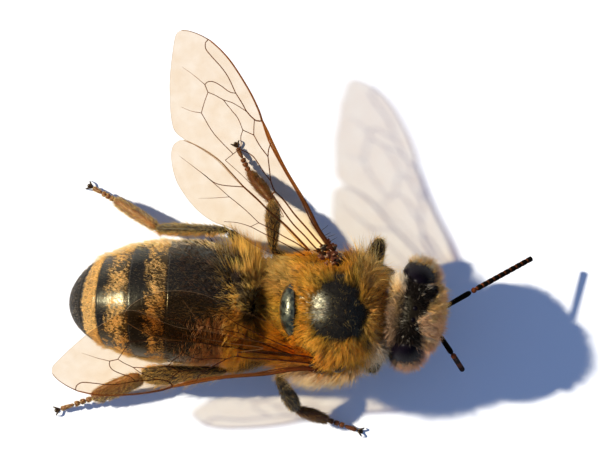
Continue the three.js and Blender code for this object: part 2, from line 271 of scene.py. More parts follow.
def mottle(points, size, seed):
    """A patchy field from about -1 to 1, whose patches are about size across."""
    rng = np.random.default_rng(seed)
    waves = rng.normal(size=(14, 3)) * (2.2 / size)
    phases = rng.random(14) * 2 * math.pi
    return np.sin(points @ waves.T + phases).sum(-1) / 3.2


# ---------------------------------------------------------------- making meshes


def tube_faces(rows, columns):
    """Triangles of a tube of rows of points, closed at both ends by a last two points."""
    r, c = np.meshgrid(np.arange(rows - 1), np.arange(columns), indexing="ij")
    a = r * columns + c
    b = r * columns + (c + 1) % columns
    d, e = a + columns, b + columns
    sides = np.concatenate([np.stack([a, b, e], -1), np.stack([a, e, d], -1)]).reshape(-1, 3)
    c = np.arange(columns)
    n = (c + 1) % columns
    first, last = rows * columns, rows * columns + 1
    base = (rows - 1) * columns
    start = np.stack([np.full(columns, first), n, c], -1)
    end = np.stack([np.full(columns, last), base + c, base + n], -1)
    return np.concatenate([sides, start, end])


def facing_out(points, faces):
    """The faces, turned round if they point into the body that they close."""
    a, b, c = points[faces[:, 0]], points[faces[:, 1]], points[faces[:, 2]]
    volume = (a * np.cross(b, c)).sum()
    return faces if volume > 0 else faces[:, ::-1]


def closed(place, rows, columns):
    """A closed body from place(s, a), with s from 0 to 1 along it and a round it."""
    s = np.linspace(0, 1, rows)
    a = np.arange(columns) / columns
    grid = place(*np.meshgrid(s, a, indexing="ij"))
    ends = [grid[0].mean(0), grid[-1].mean(0)]
    points = np.concatenate([grid.reshape(-1, 3), ends])
    share = np.concatenate([np.repeat(s, columns), [0, 1]])
    return points, facing_out(points, tube_faces(rows, columns)), share


def joined(bodies):
    """Several (points, faces, tints) as one."""
    starts = np.cumsum([0] + [len(body[0]) for body in bodies])
    points = np.concatenate([body[0] for body in bodies])
    faces = np.concatenate([body[1] + start for body, start in zip(bodies, starts)])
    tints = np.concatenate([np.broadcast_to(b[2], (len(b[0]), 3)) for b in bodies])
    return points, faces, tints


def piece(name, body, material, stands_for=()):
    """Makes a Blender object of (points, faces, tints) in mm, and tells the frame about it."""
    points, faces, tints = body
    mesh = bpy.data.meshes.new(name)
    mesh.vertices.add(len(points))
    mesh.vertices.foreach_set("co", ((points + PLACE) * MM).astype(np.float32).ravel())
    mesh.loops.add(faces.size)
    mesh.loops.foreach_set("vertex_index", faces.astype(np.int32).ravel())
    mesh.polygons.add(len(faces))
    mesh.polygons.foreach_set("loop_start", np.arange(0, faces.size, 3, dtype=np.int32))
    mesh.polygons.foreach_set("use_smooth", np.full(len(faces), True))
    mesh.update(calc_edges=True)
    colours = np.ones((len(points), 4), np.float32)
    colours[:, : np.shape(tints)[-1]] = tints
    tint = mesh.color_attributes.new("tint", "FLOAT_COLOR", "POINT")
    tint.data.foreach_set("color", colours.ravel())
    mesh.materials.append(material)
    thing = bpy.data.objects.new(name, mesh)
    bpy.context.scene.collection.objects.link(thing)
    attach(thing, "root")
    if stands_for:
        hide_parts(*stands_for)
    return thing


# ---------------------------------------------------------------- skins


def sweep(stations, blunt=10, up=UP):
    """A surface round a line of stations of x, y, z, half width and half height. It ends
    round, the more so the lower blunt is."""
    line = np.asarray(stations, float)
    last = len(line) - 1

    def place(s, a):
        s = np.clip(s, 0, 1)
        eased = (1 - np.cos(np.pi * s)) / 2
        row = spline(line, eased * last)
        ahead = spline(line[:, :3], eased * last + 0.01)
        behind = spline(line[:, :3], eased * last - 0.01)
        along = unit(ahead - behind)
        rise = unit(up - along * (along @ up)[..., None])
        side = np.cross(along, rise)
        ends = np.sqrt(np.clip(1 - np.abs(2 * eased - 1) ** blunt, 0.02, 1))
        across = (np.cos(2 * np.pi * a) * row[..., 3] * ends)[..., None]
        above = (np.sin(2 * np.pi * a) * row[..., 4] * ends)[..., None]
        return row[..., :3] + side * across + rise * above

    return place


def ellipsoid(centre, size, lean=0.0):
    centre, size = np.asarray(centre, float), np.asarray(size, float)

    def place(s, a):
        s = np.clip(s, 0.001, 0.999)
        ring = np.sin(np.pi * s)
        x = ring * np.cos(2 * np.pi * a)
        y = ring * np.sin(2 * np.pi * a)
        z = np.cos(np.pi * s)
        x, y, z = x * size[0], y * size[1], z * size[2]
        c, d = math.cos(lean), math.sin(lean)
        return np.stack([x, c * y - d * z, d * y + c * z], -1) + centre

    return place


def with_head(place):
    """A surface drawn about the upright line through the head, turned with the head."""
    return lambda s, a: turned(place(s, a), HEAD_YAW) + HEAD_CENTRE


def head_upright(s, a):
    """The head capsule: s runs from the mouth up to the crown, and a = 0 faces forward."""
    last = len(HEAD_LEVELS) - 1
    row = spline(HEAD_LEVELS, np.clip(s, 0, 1) * last)
    level, width, front, back = np.moveaxis(row, -1, 0)
    forward, aside = np.cos(2 * np.pi * a), np.sin(2 * np.pi * a)
    depth = np.where(forward > 0, front, back)
    # a squarer outline than an ellipse, flat at the back
    size = (np.abs(forward) ** 2.4 + np.abs(aside) ** 2.4) ** (-1 / 2.4)
    x, y = forward * size * depth, aside * size * width
    face = smooth(0, 0.8, forward)
    clypeus = np.exp(-((y / 0.5) ** 4) - ((level - 1.85) / 0.42) ** 4)
    socket = np.exp(-(((np.abs(y) - 0.3) / 0.16) ** 2) - ((level - 2.9) / 0.16) ** 2)
    keel = np.exp(-((y / 0.14) ** 2) - ((level - 2.7) / 0.4) ** 2)
    x = x + face * (0.14 * clypeus - 0.12 * socket + 0.05 * keel)
    groove = np.exp(-((y / 0.06) ** 2)) * smooth(3.3, 3.9, level)
    x = x - face * 0.04 * groove
    return np.stack([x, y, level], -1)


def thorax(s, a):
    """s runs from the neck back to the waist; a = 0 is the left side and 0.25 the top."""
    row = spline(THORAX, np.clip(s, 0, 1) * (len(THORAX) - 1))
    x, y, z, width, above, below = np.moveaxis(row, -1, 0)
    aside, rise = np.cos(2 * np.pi * a), np.sin(2 * np.pi * a)
    height = np.where(rise > 0, above, below)
    size = (np.abs(aside) ** 2.3 + np.abs(rise) ** 2.3) ** (-1 / 2.3)
    top = smooth(0.2, 0.9, rise)
    # lengthwise furrows of the back, and the groove under the wings
    furrow = np.exp(-((aside * width / 0.05) ** 2)) * smooth(1.0, 0.5, x) * smooth(-1.3, -0.9, x)
    notauli = np.exp(-(((np.abs(aside * width) - 0.62) / 0.06) ** 2)) * smooth(0.1, 0.6, x)
    pleura = np.exp(-(((rise - 0.42) / 0.12) ** 2)) * smooth(1.2, 0.8, x) * smooth(-2.4, -1.8, x)
    size = size * (1 - 0.012 * top * furrow - 0.015 * top * notauli - 0.05 * pleura)
    return np.stack([x, y + aside * size * width, z + rise * size * height], -1)


def abdomen_outline(at, a, share):
    """A point of the abdomen at station number at, at a share of its outline."""
    row = spline(ABDOMEN, at)
    along = unit(spline(np.array(ABDOMEN)[:, :3], at + 0.02) - spline(np.array(ABDOMEN)[:, :3], at - 0.02))
    rise = unit(UP - along * along[..., 2:])
    side = np.cross(along, rise)
    above = np.sin(2 * np.pi * a) * row[..., 4] * share
    across = np.cos(2 * np.pi * a) * row[..., 3] * share + ABDOMEN_LEAN * np.maximum(above, 0)
    return row[..., :3] + side * across[..., None] + rise * above[..., None]


STRAIGHT_RINGS = {2: 0.75, 3: 0.75, 4: 0.5}  # how straight a ring runs between its seams


def abdomen_ring(k):
    """Ring k of the abdomen: it starts tucked under the ring before, swells, and ends in a
    thin lip over the next."""
    first, last = ABDOMEN_SEAMS[k], ABDOMEN_SEAMS[k + 1]
    tuck = 0.0 if k == 0 else 0.1 * (last - first)
    final = k == len(ABDOMEN_SEAMS) - 2
    straight = STRAIGHT_RINGS.get(k, 0.0)

    def place(s, a):
        s = np.clip(s, 0, 1)
        lip = 0 if final else 1
        way = np.clip(s * (1 + 0.06 * lip), 0, 1)
        at = first - tuck + (last - first + tuck) * way
        swell = 0.97 + 0.03 * smooth(0, 0.3, way) + 0.008 * np.sin(np.pi * way)
        back = smooth(1.0, 1.06, s * 1.06) * lip
        seam = np.exp(-(((np.sin(2 * np.pi * a) + 0.45) / 0.05) ** 2))
        share = ABDOMEN_SKIN * swell * (1 - 0.035 * back) - 0.012 * seam
        if final:
            share = share * np.sqrt(np.clip(1 - s**10, 0.01, 1))
        curved = abdomen_outline(at, a, share)
        if not straight:
            return curved
        along = ((at - first) / (last - first))[..., None]
        ends = [abdomen_outline(np.full_like(at, end), a, share) for end in (first, last)]
        return curved * (1 - straight) + (ends[0] * (1 - along) + ends[1] * along) * straight

    return place


# ---------------------------------------------------------------- hair


def scatter(place, count, density, rng, tries_each=7):
    """Roots spread over a surface, as dense as density(points, s, a) says."""
    tries = count * tries_each
    s, a = rng.random(tries), rng.random(tries)
    e = 0.002
    points = place(s, a)
    along = place(s + e, a) - place(s - e, a)
    around = place(s, a + e) - place(s, a - e)
    normal = np.cross(along, around)
    area = np.linalg.norm(normal, axis=-1)
    middle = place(s, (a + 0.5) % 1)
    outward = np.sign(((points - middle) * normal).sum(-1))
    normal = unit(normal * outward[:, None])
    weight = area * density(points, s, a)
    keep = np.flatnonzero(rng.random(tries) * np.quantile(weight, 0.995) < weight)[:count]
    return {
        "root": points[keep],
        "normal": normal[keep],
        "along": unit(along[keep]),
        "s": s[keep],
        "a": a[keep],
    }


CLUMP = 6  # hairs to a clump
PATCH = 0.003  # the size of a hair on the map OFBake


def nearest_leaders(root):
    """For each root, the number of the nearest of every so many of them."""
    leaders = root[::CLUMP]
    tree = kdtree.KDTree(len(leaders))
    for number, place in enumerate(leaders):
        tree.insert(place, number)
    tree.balance()
    return np.array([tree.find(place)[1] for place in root]) * CLUMP


def hairs(
    roots, lie, stand, length, width, tones, rng, rings=3, curl=0.5, jitter=0.2, tuft=0.35, clump=0.0
):
    """Curved, pointed, three-sided hairs as (points, faces, tints) and a patch of UV each.

    lie is the way they point along the skin, stand how far they rise from it in radians,
    tones their colours at the root and at the tip, tuft how far neighbours lean together, and
    clump how far their tips are drawn to their leader's."""
    root, normal = roots["root"], roots["normal"]
    count = len(root)
    lie = unit(lie) + rng.normal(size=(count, 3)) * jitter + tuft * drift(root, 0.1, 50)
    lie = unit(lie - normal * (lie * normal).sum(-1, keepdims=True))
    stand = stand + rng.normal(size=count) * jitter * 0.6 + tuft * 0.5 * mottle(root, 0.12, 60)
    stand = np.clip(stand, 0.05, 1.5)
    heading = lie * np.cos(stand)[:, None] + normal * np.sin(stand)[:, None]
    steps = np.linspace(0, 1, rings + 1)
    centres = [root - heading * 0.02]
    for before, after in zip(steps, steps[1:]):
        bend = curl * (before + after) / 2
        way = unit(heading * (1 - bend) + lie * bend)
        centres.append(centres[-1] + way * (length * (after - before))[:, None])
    if clump:
        leader = nearest_leaders(root)
        for centre, step in zip(centres, steps):
            centre += (centre[leader] - centre) * clump * step**1.4
        tones = [blend(tone, tone[leader], 0.75) for tone in tones]
    side = unit(np.cross(heading, normal + 0.001))
    over = np.cross(side, heading)
    points = np.empty((count, rings * 3 + 1, 3))
    for ring in range(rings):
        girth = (width * (1 - 0.62 * (ring / rings) ** 1.5))[:, None]
        for corner in range(3):
            angle = 2 * math.pi * corner / 3
            offset = (side * math.cos(angle) + over * math.sin(angle)) * girth / 2
            points[:, ring * 3 + corner] = centres[ring] + offset
    points[:, -1] = centres[-1]
    shape = [[0, 2, 1]]
    for ring in range(rings - 1):
        for corner in range(3):
            a, b = ring * 3 + corner, ring * 3 + (corner + 1) % 3
            shape += [[a, b, b + 3], [a, b + 3, a + 3]]
    top = (rings - 1) * 3
    shape += [[top + corner, top + (corner + 1) % 3, rings * 3] for corner in range(3)]
    shape = np.array(shape)
    faces = (np.arange(count)[:, None, None] * (rings * 3 + 1) + shape).reshape(-1, 3)
    way = np.append(np.repeat(np.arange(rings) / rings, 3), 1.0)
    tints = tones[0][:, None] * (1 - way)[:, None] + tones[1][:, None] * way[:, None]
    corner = np.append(np.tile([-1.0, 0.0, 1.0], rings), 0.0)
    patch = np.stack([corner * PATCH / 2, way * PATCH - PATCH / 2], -1)
    # every surface fills the whole map, so the hairs of different surfaces share places on it
    place = np.stack([roots["a"], roots["s"]], -1) * 0.98 + 0.01
    uv = (place[:, None] + patch).reshape(-1, 2)
    return points.reshape(-1, 3), faces, tints.reshape(-1, 3), uv


COAT_LIMIT = 190000  # triangles in one piece of coat


def coat(name, batches, material=None):
    """One piece of coat from several batches of hairs, with its OFBake map."""
    body = joined([batch[:3] for batch in batches])
    if len(body[1]) > COAT_LIMIT:
        raise ValueError(f"{name} has {len(body[1])} triangles")
    uv = np.concatenate([batch[3] for batch in batches])
    thing = piece(name, body, material or HAIR)
    layer = thing.data.uv_layers.new(name="OFBake")
    layer.uv.foreach_set("vector", uv[body[1].ravel()].astype(np.float32).ravel())


def varied(colour, count, rng, spread=0.22):
    """One colour for each hair, a little lighter or darker than the next."""
    value = np.exp(rng.normal(size=(count, 1)) * spread)
    warmth = rng.normal(size=(count, 1)) * 0.06 * np.array([1, 0, -1])
    return np.maximum(np.broadcast_to(colour, (count, 3)) * (value + warmth), 0)


# ---------------------------------------------------------------- materials


class Nodes:
    """Short ways to add shader nodes to a material's tree."""

    def __init__(self, name):
        self.material = bpy.data.materials.new(name)
        self.material.use_nodes = True
        self.tree = self.material.node_tree
        self.shader = self.tree.nodes["Principled BSDF"]
        self.output = self.tree.nodes["Material Output"]
        coordinates = self.tree.nodes.new("ShaderNodeTexCoord")
        scale = self.tree.nodes.new("ShaderNodeVectorMath")
        scale.operation = "SCALE"
        scale.inputs["Scale"].default_value = 1 / MM
        self.tree.links.new(coordinates.outputs["Object"], scale.inputs[0])
        self.mm = scale.outputs[0]

    def link(self, source, target):
        self.tree.links.new(source, target)

    def tint(self):
        node = self.tree.nodes.new("ShaderNodeAttribute")
        node.attribute_name = "tint"
        return node.outputs["Color"]

    def noise(self, size, detail=3.0, stretch=None):
        """Noise whose blobs are about size mm across."""
        node = self.tree.nodes.new("ShaderNodeTexNoise")
        node.inputs["Scale"].default_value = 1 / size
        node.inputs["Detail"].default_value = detail
        vector = self.mm
        if stretch:
            mapping = self.tree.nodes.new("ShaderNodeMapping")
            mapping.inputs["Scale"].default_value = stretch
            self.link(self.mm, mapping.inputs["Vector"])
            vector = mapping.outputs[0]
        self.link(vector, node.inputs["Vector"])
        return node.outputs["Fac"]

    def cells(self, size):
        """Distance to the middles of cells about size mm across."""
        node = self.tree.nodes.new("ShaderNodeTexVoronoi")
        node.inputs["Scale"].default_value = 1 / size
        self.link(self.mm, node.inputs["Vector"])
        return node.outputs["Distance"]

    def spread(self, value, low, high, to_low=0.0, to_high=1.0):
        node = self.tree.nodes.new("ShaderNodeMapRange")
        for socket, number in zip(node.inputs[1:5], (low, high, to_low, to_high)):
            socket.default_value = number
        self.link(value, node.inputs[0])
        return node.outputs[0]

    def mix(self, share, low, high, mode="MIX"):
        node = self.tree.nodes.new("ShaderNodeMix")
        node.data_type = "RGBA"
        node.blend_type = mode
        for socket, value in zip((node.inputs[0], node.inputs[6], node.inputs[7]), (share, low, high)):
            if isinstance(value, (int, float)):
                socket.default_value = value
            elif isinstance(value, tuple):
                socket.default_value = (*value, 1)
            else:
                self.link(value, socket)
        return node.outputs[2]

    def mix_shaders(self, share, first, second):
        node = self.tree.nodes.new("ShaderNodeMixShader")
        if isinstance(share, float):
            node.inputs[0].default_value = share
        else:
            self.link(share, node.inputs[0])
        self.link(first.outputs[0], node.inputs[1])
        self.link(second.outputs[0], node.inputs[2])
        return node

    def show(self, shader):
        self.link(shader.outputs[0], self.output.inputs["Surface"])

    def bump(self, heights):
        """Bumps of (height, depth in mm), one on the other."""
        normal = None
        for height, depth in heights:
            node = self.tree.nodes.new("ShaderNodeBump")
            node.inputs["Distance"].default_value = depth * MM
            self.link(height, node.inputs["Height"])
            if normal:
                self.link(normal, node.inputs["Normal"])
            normal = node.outputs[0]
        self.link(normal, self.shader.inputs["Normal"])

    def set(self, **values):
        for name, value in values.items():
            self.shader.inputs[name.replace("_", " ")].default_value = value


def shell_material(name, rough, grain, depth, gloss=0.5, striae=None):
    """Horny shell in the tint of its points, with fine grain."""
    n = Nodes(name)
    patches = n.noise(0.5, 4)
    dark = n.mix(1.0, n.tint(), (0.62, 0.6, 0.58), "MULTIPLY")
    n.link(n.mix(n.spread(patches, 0.35, 0.65), dark, n.tint()), n.shader.inputs["Base Color"])
    n.link(n.spread(n.noise(0.12, 4), 0.3, 0.7, rough * 0.8, rough * 1.25), n.shader.inputs["Roughness"])
    heights = [(n.noise(grain, 2), depth), (n.noise(0.9, 2), depth * 6)]
    if striae:
        heights.append((n.noise(0.035, 2, striae), depth))
    n.bump(heights)
    n.set(IOR=1.48, Specular_IOR_Level=gloss, Specular_Tint=(1.0, 0.97, 0.68, 1.0))
    return n.material


def hair_material(name, through_share):
    n = Nodes(name)
    n.link(n.tint(), n.shader.inputs["Base Color"])
    n.set(Roughness=0.38, IOR=1.5)
    through = n.tree.nodes.new("ShaderNodeBsdfTranslucent")
    n.link(n.tint(), through.inputs["Color"])
    n.show(n.mix_shaders(through_share, n.shader, through))
    return n.material


def eye_material():
    n = Nodes("compound eye")
    haze = n.spread(n.noise(0.6, 2), 0.35, 0.65)
    n.link(n.mix(haze, (0.0015, 0.001, 0.002), (0.004, 0.0025, 0.005)), n.shader.inputs["Base Color"])
    n.set(Roughness=0.3, IOR=1.38, Specular_IOR_Level=0.06)
    n.bump([(n.cells(0.03), 0.0012)])
    return n.material


def membrane_material():
    """Clear film that colours what is behind it, by the tint of its points."""
    n = Nodes("wing membrane")
    patches = n.spread(n.noise(0.45, 4), 0.3, 0.7)
    film = n.mix(patches, n.mix(1.0, n.tint(), (0.97, 0.94, 0.9), "MULTIPLY"), n.tint())
    specks = n.spread(n.cells(0.16), 0.05, 0.0)
    film = n.mix(specks, film, (0.42, 0.22, 0.1))
    clear = n.tree.nodes.new("ShaderNodeBsdfTransparent")
    n.link(film, clear.inputs["Color"])
    n.link(n.mix(patches, (0.12, 0.06, 0.02), (0.2, 0.11, 0.04)), n.shader.inputs["Base Color"])
    n.set(Roughness=0.16, IOR=1.5)
    n.bump([(n.cells(0.07), 0.004), (n.noise(0.35, 3), 0.02)])
    seen = n.mix_shaders(MEMBRANE_BODY, clear, n.shader)
    # the film scatters light, so its shadow is darker than its tint
    shade = n.tree.nodes.new("ShaderNodeBsdfTransparent")
    n.link(n.mix(1.0, film, (0.9, 0.91, 0.88), "MULTIPLY"), shade.inputs["Color"])
    path = n.tree.nodes.new("ShaderNodeLightPath")
    n.show(n.mix_shaders(path.outputs["Is Shadow Ray"], seen, shade))
    return n.material


def vein_material():
    """Brown horn through which a pale floor glows."""
    n = Nodes("wing vein")
    n.link(n.tint(), n.shader.inputs["Base Color"])
    n.set(Roughness=0.6, IOR=1.48, Specular_IOR_Level=0.05)
    clear = n.tree.nodes.new("ShaderNodeBsdfTransparent")
    glow = n.spread(n.noise(0.4, 2), 0.3, 0.7)
    n.link(n.mix(glow, (0.72, 0.4, 0.16), (0.85, 0.52, 0.24)), clear.inputs["Color"])
    n.show(n.mix_shaders(VEIN_BODY, clear, n.shader))
    return n.material


def floor_material():
    n = Nodes("pale floor")
    shade = n.spread(n.noise(60, 3), 0.3, 0.7)
    n.link(n.mix(shade, (0.81, 0.86, 0.94), (0.84, 0.89, 0.96)), n.shader.inputs["Base Color"])
    n.set(Roughness=0.8)
    return n.material


HAIR = hair_material("hair", 0.62)
FELT = hair_material("felt", 0.08)
EYE = eye_material()
WING = membrane_material()
SHELL = shell_material("thorax shell", 0.27, 0.05, 0.004, gloss=0.42)
PLATE_SHELL = shell_material("scutellum shell", 0.27, 0.07, 0.012, gloss=0.6)
CROWN_SHELL = shell_material("head shell", 0.4, 0.05, 0.005, gloss=0.08)
ABDOMEN_SHELL = shell_material("abdomen shell", 0.22, 0.03, 0.0035, striae=(1.0, 0.12, 0.12))
TIP_SHELL = shell_material("abdomen tip", 0.5, 0.03, 0.004, gloss=0.12)
LIMB_SHELL = shell_material("limb shell", 0.42, 0.04, 0.008, gloss=0.3)
HORN = shell_material("horn", 0.3, 0.05, 0.004, gloss=0.35)
FEELER_SHELL = shell_material("feeler shell", 0.6, 0.04, 0.004, gloss=0.02)
VEIN = vein_material()

# Colours as linear light.
BLACK = np.array([0.0075, 0.005, 0.003])
BROWN = np.array([0.03, 0.014, 0.006])
BLUE_BLACK = np.array([0.016, 0.022, 0.02])
GREY_GREEN = np.array([0.055, 0.062, 0.045])
RED_BROWN = np.array([0.13, 0.035, 0.012])
AMBER = np.array([0.42, 0.19, 0.06])
GOLD = np.array([1.0, 0.63, 0.085])
ORANGE = np.array([1.0, 0.52, 0.04])
STRAW = np.array([1.0, 0.76, 0.28])
CREAM = np.array([1.0, 0.9, 0.72])
TAN = np.array([0.95, 0.64, 0.3])
ROSE = np.array([1.0, 0.68, 0.5])
DARK_HAIR = np.array([0.045, 0.022, 0.009])
CLEAR_AMBER = np.array([0.81, 0.705, 0.575])
DEEP_AMBER = np.array([0.98, 0.74, 0.36])
FAWN = np.array([1.0, 0.72, 0.44])
OLIVE = np.array([0.3, 0.22, 0.115])
FELT_GOLD = np.array([0.9, 0.5, 0.105])
FELT_PALE = np.array([1.0, 0.72, 0.4])
SKIN_SHADE = 0.15  # how dark the skin is beside the hair that grows on it
FELT_SHADE = 0.045  # the same under the felt, where the plates show between the hairs
# the pale green of the painted highlight on the disc
GLINT_GREEN = np.array([0.8, 0.82, 0.62])

# ---------------------------------------------------------------- head


def make_head():
    capsule, faces, _ = closed(with_head(head_upright), 70, 96)
    local = head_frame(capsule)
    tints = blend(FAWN * SKIN_SHADE, BLACK, np.maximum(crown(local), lower_face(local)))
    piece("head_capsule", (capsule, faces, tints), CROWN_SHELL, ["head", "neck"])
    for side, hand in (("left", 1), ("right", -1)):
        centre = EYE_PLACE * [1, hand, 1]
        body = closed(with_head(ellipsoid(centre, EYE_SIZE, hand * EYE_LEAN)), 40, 48)
        piece(f"compound_eye_{side}", (*body[:2], BLACK), EYE, [f"eye_{side}"])
        root, tip = [0.36, hand * 0.5, 1.2], [0.56, hand * 0.16, 0.6]
        bow = [0.56, hand * 0.5, 0.86]
        jaw = sweep([[*root, 0.16, 0.2], [*bow, 0.14, 0.18], [*tip, 0.08, 0.16]], 6)
        body = closed(with_head(jaw), 18, 20)
        piece(f"mandible_shell_{side}", (*body[:2], RED_BROWN), HORN, [f"mandible_{side}"])
    make_ocelli()
    make_mouth()


def make_ocelli():
    domes = []
    for x, y, z in ((0.2, 0.0, 4.48), (0.0, 0.2, 4.54), (0.0, -0.2, 4.54)):
        body = closed(with_head(ellipsoid([x, y, z], [0.11, 0.11, 0.09])), 14, 20)
        domes.append((*body[:2], BROWN))
    piece("ocelli", joined(domes), EYE)


def make_mouth():
    parts = []
    for hand in (1, -1):
        blade = [
            [0.3, hand * 0.12, 1.05, 0.09, 0.1],
            [0.1, hand * 0.14, 0.78, 0.11, 0.13],
            [-0.5, hand * 0.1, 0.72, 0.09, 0.11],
            [-1.1, hand * 0.03, 0.84, 0.03, 0.03],
        ]
        parts.append(closed(with_head(sweep(blade, 8)), 24, 14))
    tongue = [[0.2, 0, 0.95, 0.08, 0.08], [-0.3, 0, 0.64, 0.07, 0.07], [-1.15, 0, 0.76, 0.03, 0.03]]
    parts.append(closed(with_head(sweep(tongue, 8)), 24, 12))
    lip = [[0.84, 0, 1.42, 0.34, 0.08], [0.74, 0, 1.14, 0.24, 0.07]]
    parts.append(closed(with_head(sweep(lip, 6, np.array([1.0, 0, 0]))), 12, 18))
    bodies = [(*part[:2], RED_BROWN) for part in parts]
    piece("mouthparts", joined(bodies), HORN, ["proboscis"])


def make_antennae():
    for side, (socket, elbow, tip) in ANTENNAE.items():
        socket, elbow, tip = map(np.array, (socket, elbow, tip))
        lower = elbow - (elbow - socket) * 0.08
        scape = [[*socket, 0.075, 0.075], [*(socket * 0.6 + lower * 0.4), 0.085, 0.085], [*lower, 0.1, 0.1]]
        bodies = [(*closed(sweep(scape, 12), 20, 16)[:2], BLACK)]
        knob = ellipsoid(elbow, [0.1, 0.1, 0.1])
        bodies.append((*closed(knob, 12, 14)[:2], RED_BROWN))
        count = 10
        start = elbow + (tip - elbow) * 0.035
        for k in range(count):
            near = start + (tip - start) * (k + 0.02) / count
            far = start + (tip - start) * (k + 0.98) / count
            girth = 0.065 if k == 0 else 0.088
            ends = [[*near, girth, girth], [*((near + far) / 2), 0.094, 0.094], [*far, 0.092, 0.092]]
            points, faces, share = closed(sweep(ends, 30), 12, 14)
            rim = smooth(0.4, 0.02, share) * (1.0 if k < 2 else 0.5)
            if side == "right" and 4 <= k < 7:
                rim = 0.3 + 0.7 * rim
            bodies.append((points, faces, blend(BLACK * 0.6, RED_BROWN * 1.6, rim)))
        nodes = [f"antenna_{side}_scape", f"antenna_{side}_flagellum"]
        piece(f"antenna_{side}", joined(bodies), FEELER_SHELL, nodes)


# ---------------------------------------------------------------- thorax


def make_thorax():
    points, faces, _ = closed(thorax, 90, 110)
    golden = np.maximum(smooth(0.98, 1.15, disc(points)), smooth(3.6, 3.0, points[:, 2]))
    body = points, faces, blend(BLACK, GOLD * SKIN_SHADE, golden)
    piece("thorax_shell", body, SHELL, ["thorax", "propodeum", "petiole"])
    points, faces, _ = closed(ellipsoid(SCUTELLUM_PLACE, SCUTELLUM_SIZE), 60, 80)
    ahead = points[:, 0] - SCUTELLUM_PLACE[0]
    points[:, 0] -= np.maximum(ahead, 0) * (1 - SCUTELLUM_FRONT)
    # grey-green mottling, partly the plate's own colour and partly a painted sheen; browner towards its lower
    # rim
    tints = blend(BLUE_BLACK * 0.5, GREY_GREEN, smooth(-0.6, 0.8, mottle(points, 0.13, 21)))
    tints = blend(tints, BROWN, smooth(4.25, 4.0, points[:, 2]))
    piece("scutellum_plate", (points, faces, tints), PLATE_SHELL, ["scutellum"])
    for side, hand in (("left", 1), ("right", -1)):
        cap = closed(ellipsoid(TEGULA_PLACE * [1, hand, 1], TEGULA_SIZE), 24, 30)
        piece(f"tegula_cap_{side}", (*cap[:2], BROWN * 0.8), LIMB_SHELL, [f"tegula_{side}"])


# ---------------------------------------------------------------- abdomen


def make_abdomen():
    for k in range(len(ABDOMEN_SEAMS) - 1):
        points, faces, share = closed(abdomen_ring(k), 44, 120)
        rim = smooth(0.955, 0.985, share) if k < 5 else share * 0
        tints = blend(BLACK, AMBER * 0.8, rim * 0.8)
        if k in FELT_BANDS:
            tints = blend(tints, FELT_GOLD * FELT_SHADE, felt_band(k, points, share))
        material = TIP_SHELL if k == 5 else ABDOMEN_SHELL
        piece(f"abdomen_ring_{k + 1}", (points, faces, tints), material, [f"abdomen_segment_{k + 1}"])


# ---------------------------------------------------------------- wings


def on_wing(side, u, v, lift, hind):
    """Points of a wing's plane as points in the bee's frame, lift above the membrane."""
    wing = WINGS[side]
    turn, out, aside = wing["hind"] if hind else (0.0, 0.0, 0.0)
    angle = math.radians(-wing["hand"] * turn)
    length, width = u + out, v + aside
    reach = length * math.cos(angle) - width * math.sin(angle)
    across = length * math.sin(angle) + width * math.cos(angle)
    heading = math.radians(wing["heading"])
    along = np.array([math.cos(heading), math.sin(heading)])
    lead = wing["hand"] * np.array([along[1], -along[0]])
    flat = np.array(wing["hinge"][:2]) + reach[..., None] * along + across[..., None] * lead
    under = 0.07 * smooth(0.0, 1.5, u) if hind and turn else 0.0
    ripple = 0.02 * np.sin(across * 7 + 0.4 * reach) * smooth(0, 1.5, reach)
    level = wing["hinge"][2] + wing["height"](reach, across) + ripple - under + lift
    return np.concatenate([flat, level[..., None]], -1)


def membrane(side, outline, hind):
    """A thin closed plate between the wing's two edges."""
    rows, columns = 90, 20
    at = np.linspace(0, len(outline) - 1, rows)
    u, trail, lead = spline(outline, at).T
    share = (1 - np.cos(np.pi * np.linspace(0, 1, columns))) / 2
    v = trail[:, None] + (lead - trail)[:, None] * share
    u = np.broadcast_to(u[:, None], v.shape)
    upper = on_wing(side, u, v, MEMBRANE / 2, hind)
    lower = on_wing(side, u, v, -MEMBRANE / 2, hind)
    ring = np.concatenate([upper, lower[:, ::-1]], 1)
    points = np.concatenate([ring.reshape(-1, 3), [ring[0].mean(0), ring[-1].mean(0)]])
    depth = 1 - smooth(0.2, 2.4, np.append(np.concatenate([u, u], 1).ravel(), [u[0, 0], u[-1, 0]]))
    tints = np.sqrt(blend(CLEAR_AMBER, DEEP_AMBER, depth))  # the film has two faces
    return points, facing_out(points, tube_faces(rows, 2 * columns)), tints


def vein(side, hind, points, start, end, tints):
    """A tube along a smooth line of (u, v) points on the wing, from radius start to end."""
    line = np.array(points, float)
    last = len(line) - 1
    steps = max(6, int(np.linalg.norm(np.diff(line, axis=0), axis=1).sum() / 0.06))
    u, v = spline(line, np.linspace(0, last, steps)).T
    centre = on_wing(side, u, v, 0.0, hind)
    share = np.linspace(0, 1, steps)
    radius = (start + (end - start) * share) * (SLIMMING if start < THIN_VEIN else 1.0)
    along = unit(np.gradient(centre, axis=0))
    rise = unit(UP - along * along[:, 2:])
    beside = np.cross(along, rise)
    angles = 2 * np.pi * np.arange(8) / 8
    ring = np.cos(angles)[:, None] * beside[:, None] + np.sin(angles)[:, None] * rise[:, None]
    grid = centre[:, None] + ring * radius[:, None, None]
    verts = np.concatenate([grid.reshape(-1, 3), centre[:1], centre[-1:]])
    shade = np.concatenate([np.repeat(share, 8), [0, 1]])
    return verts, facing_out(verts, tube_faces(steps, 8)), blend(tints[0], tints[1], shade)


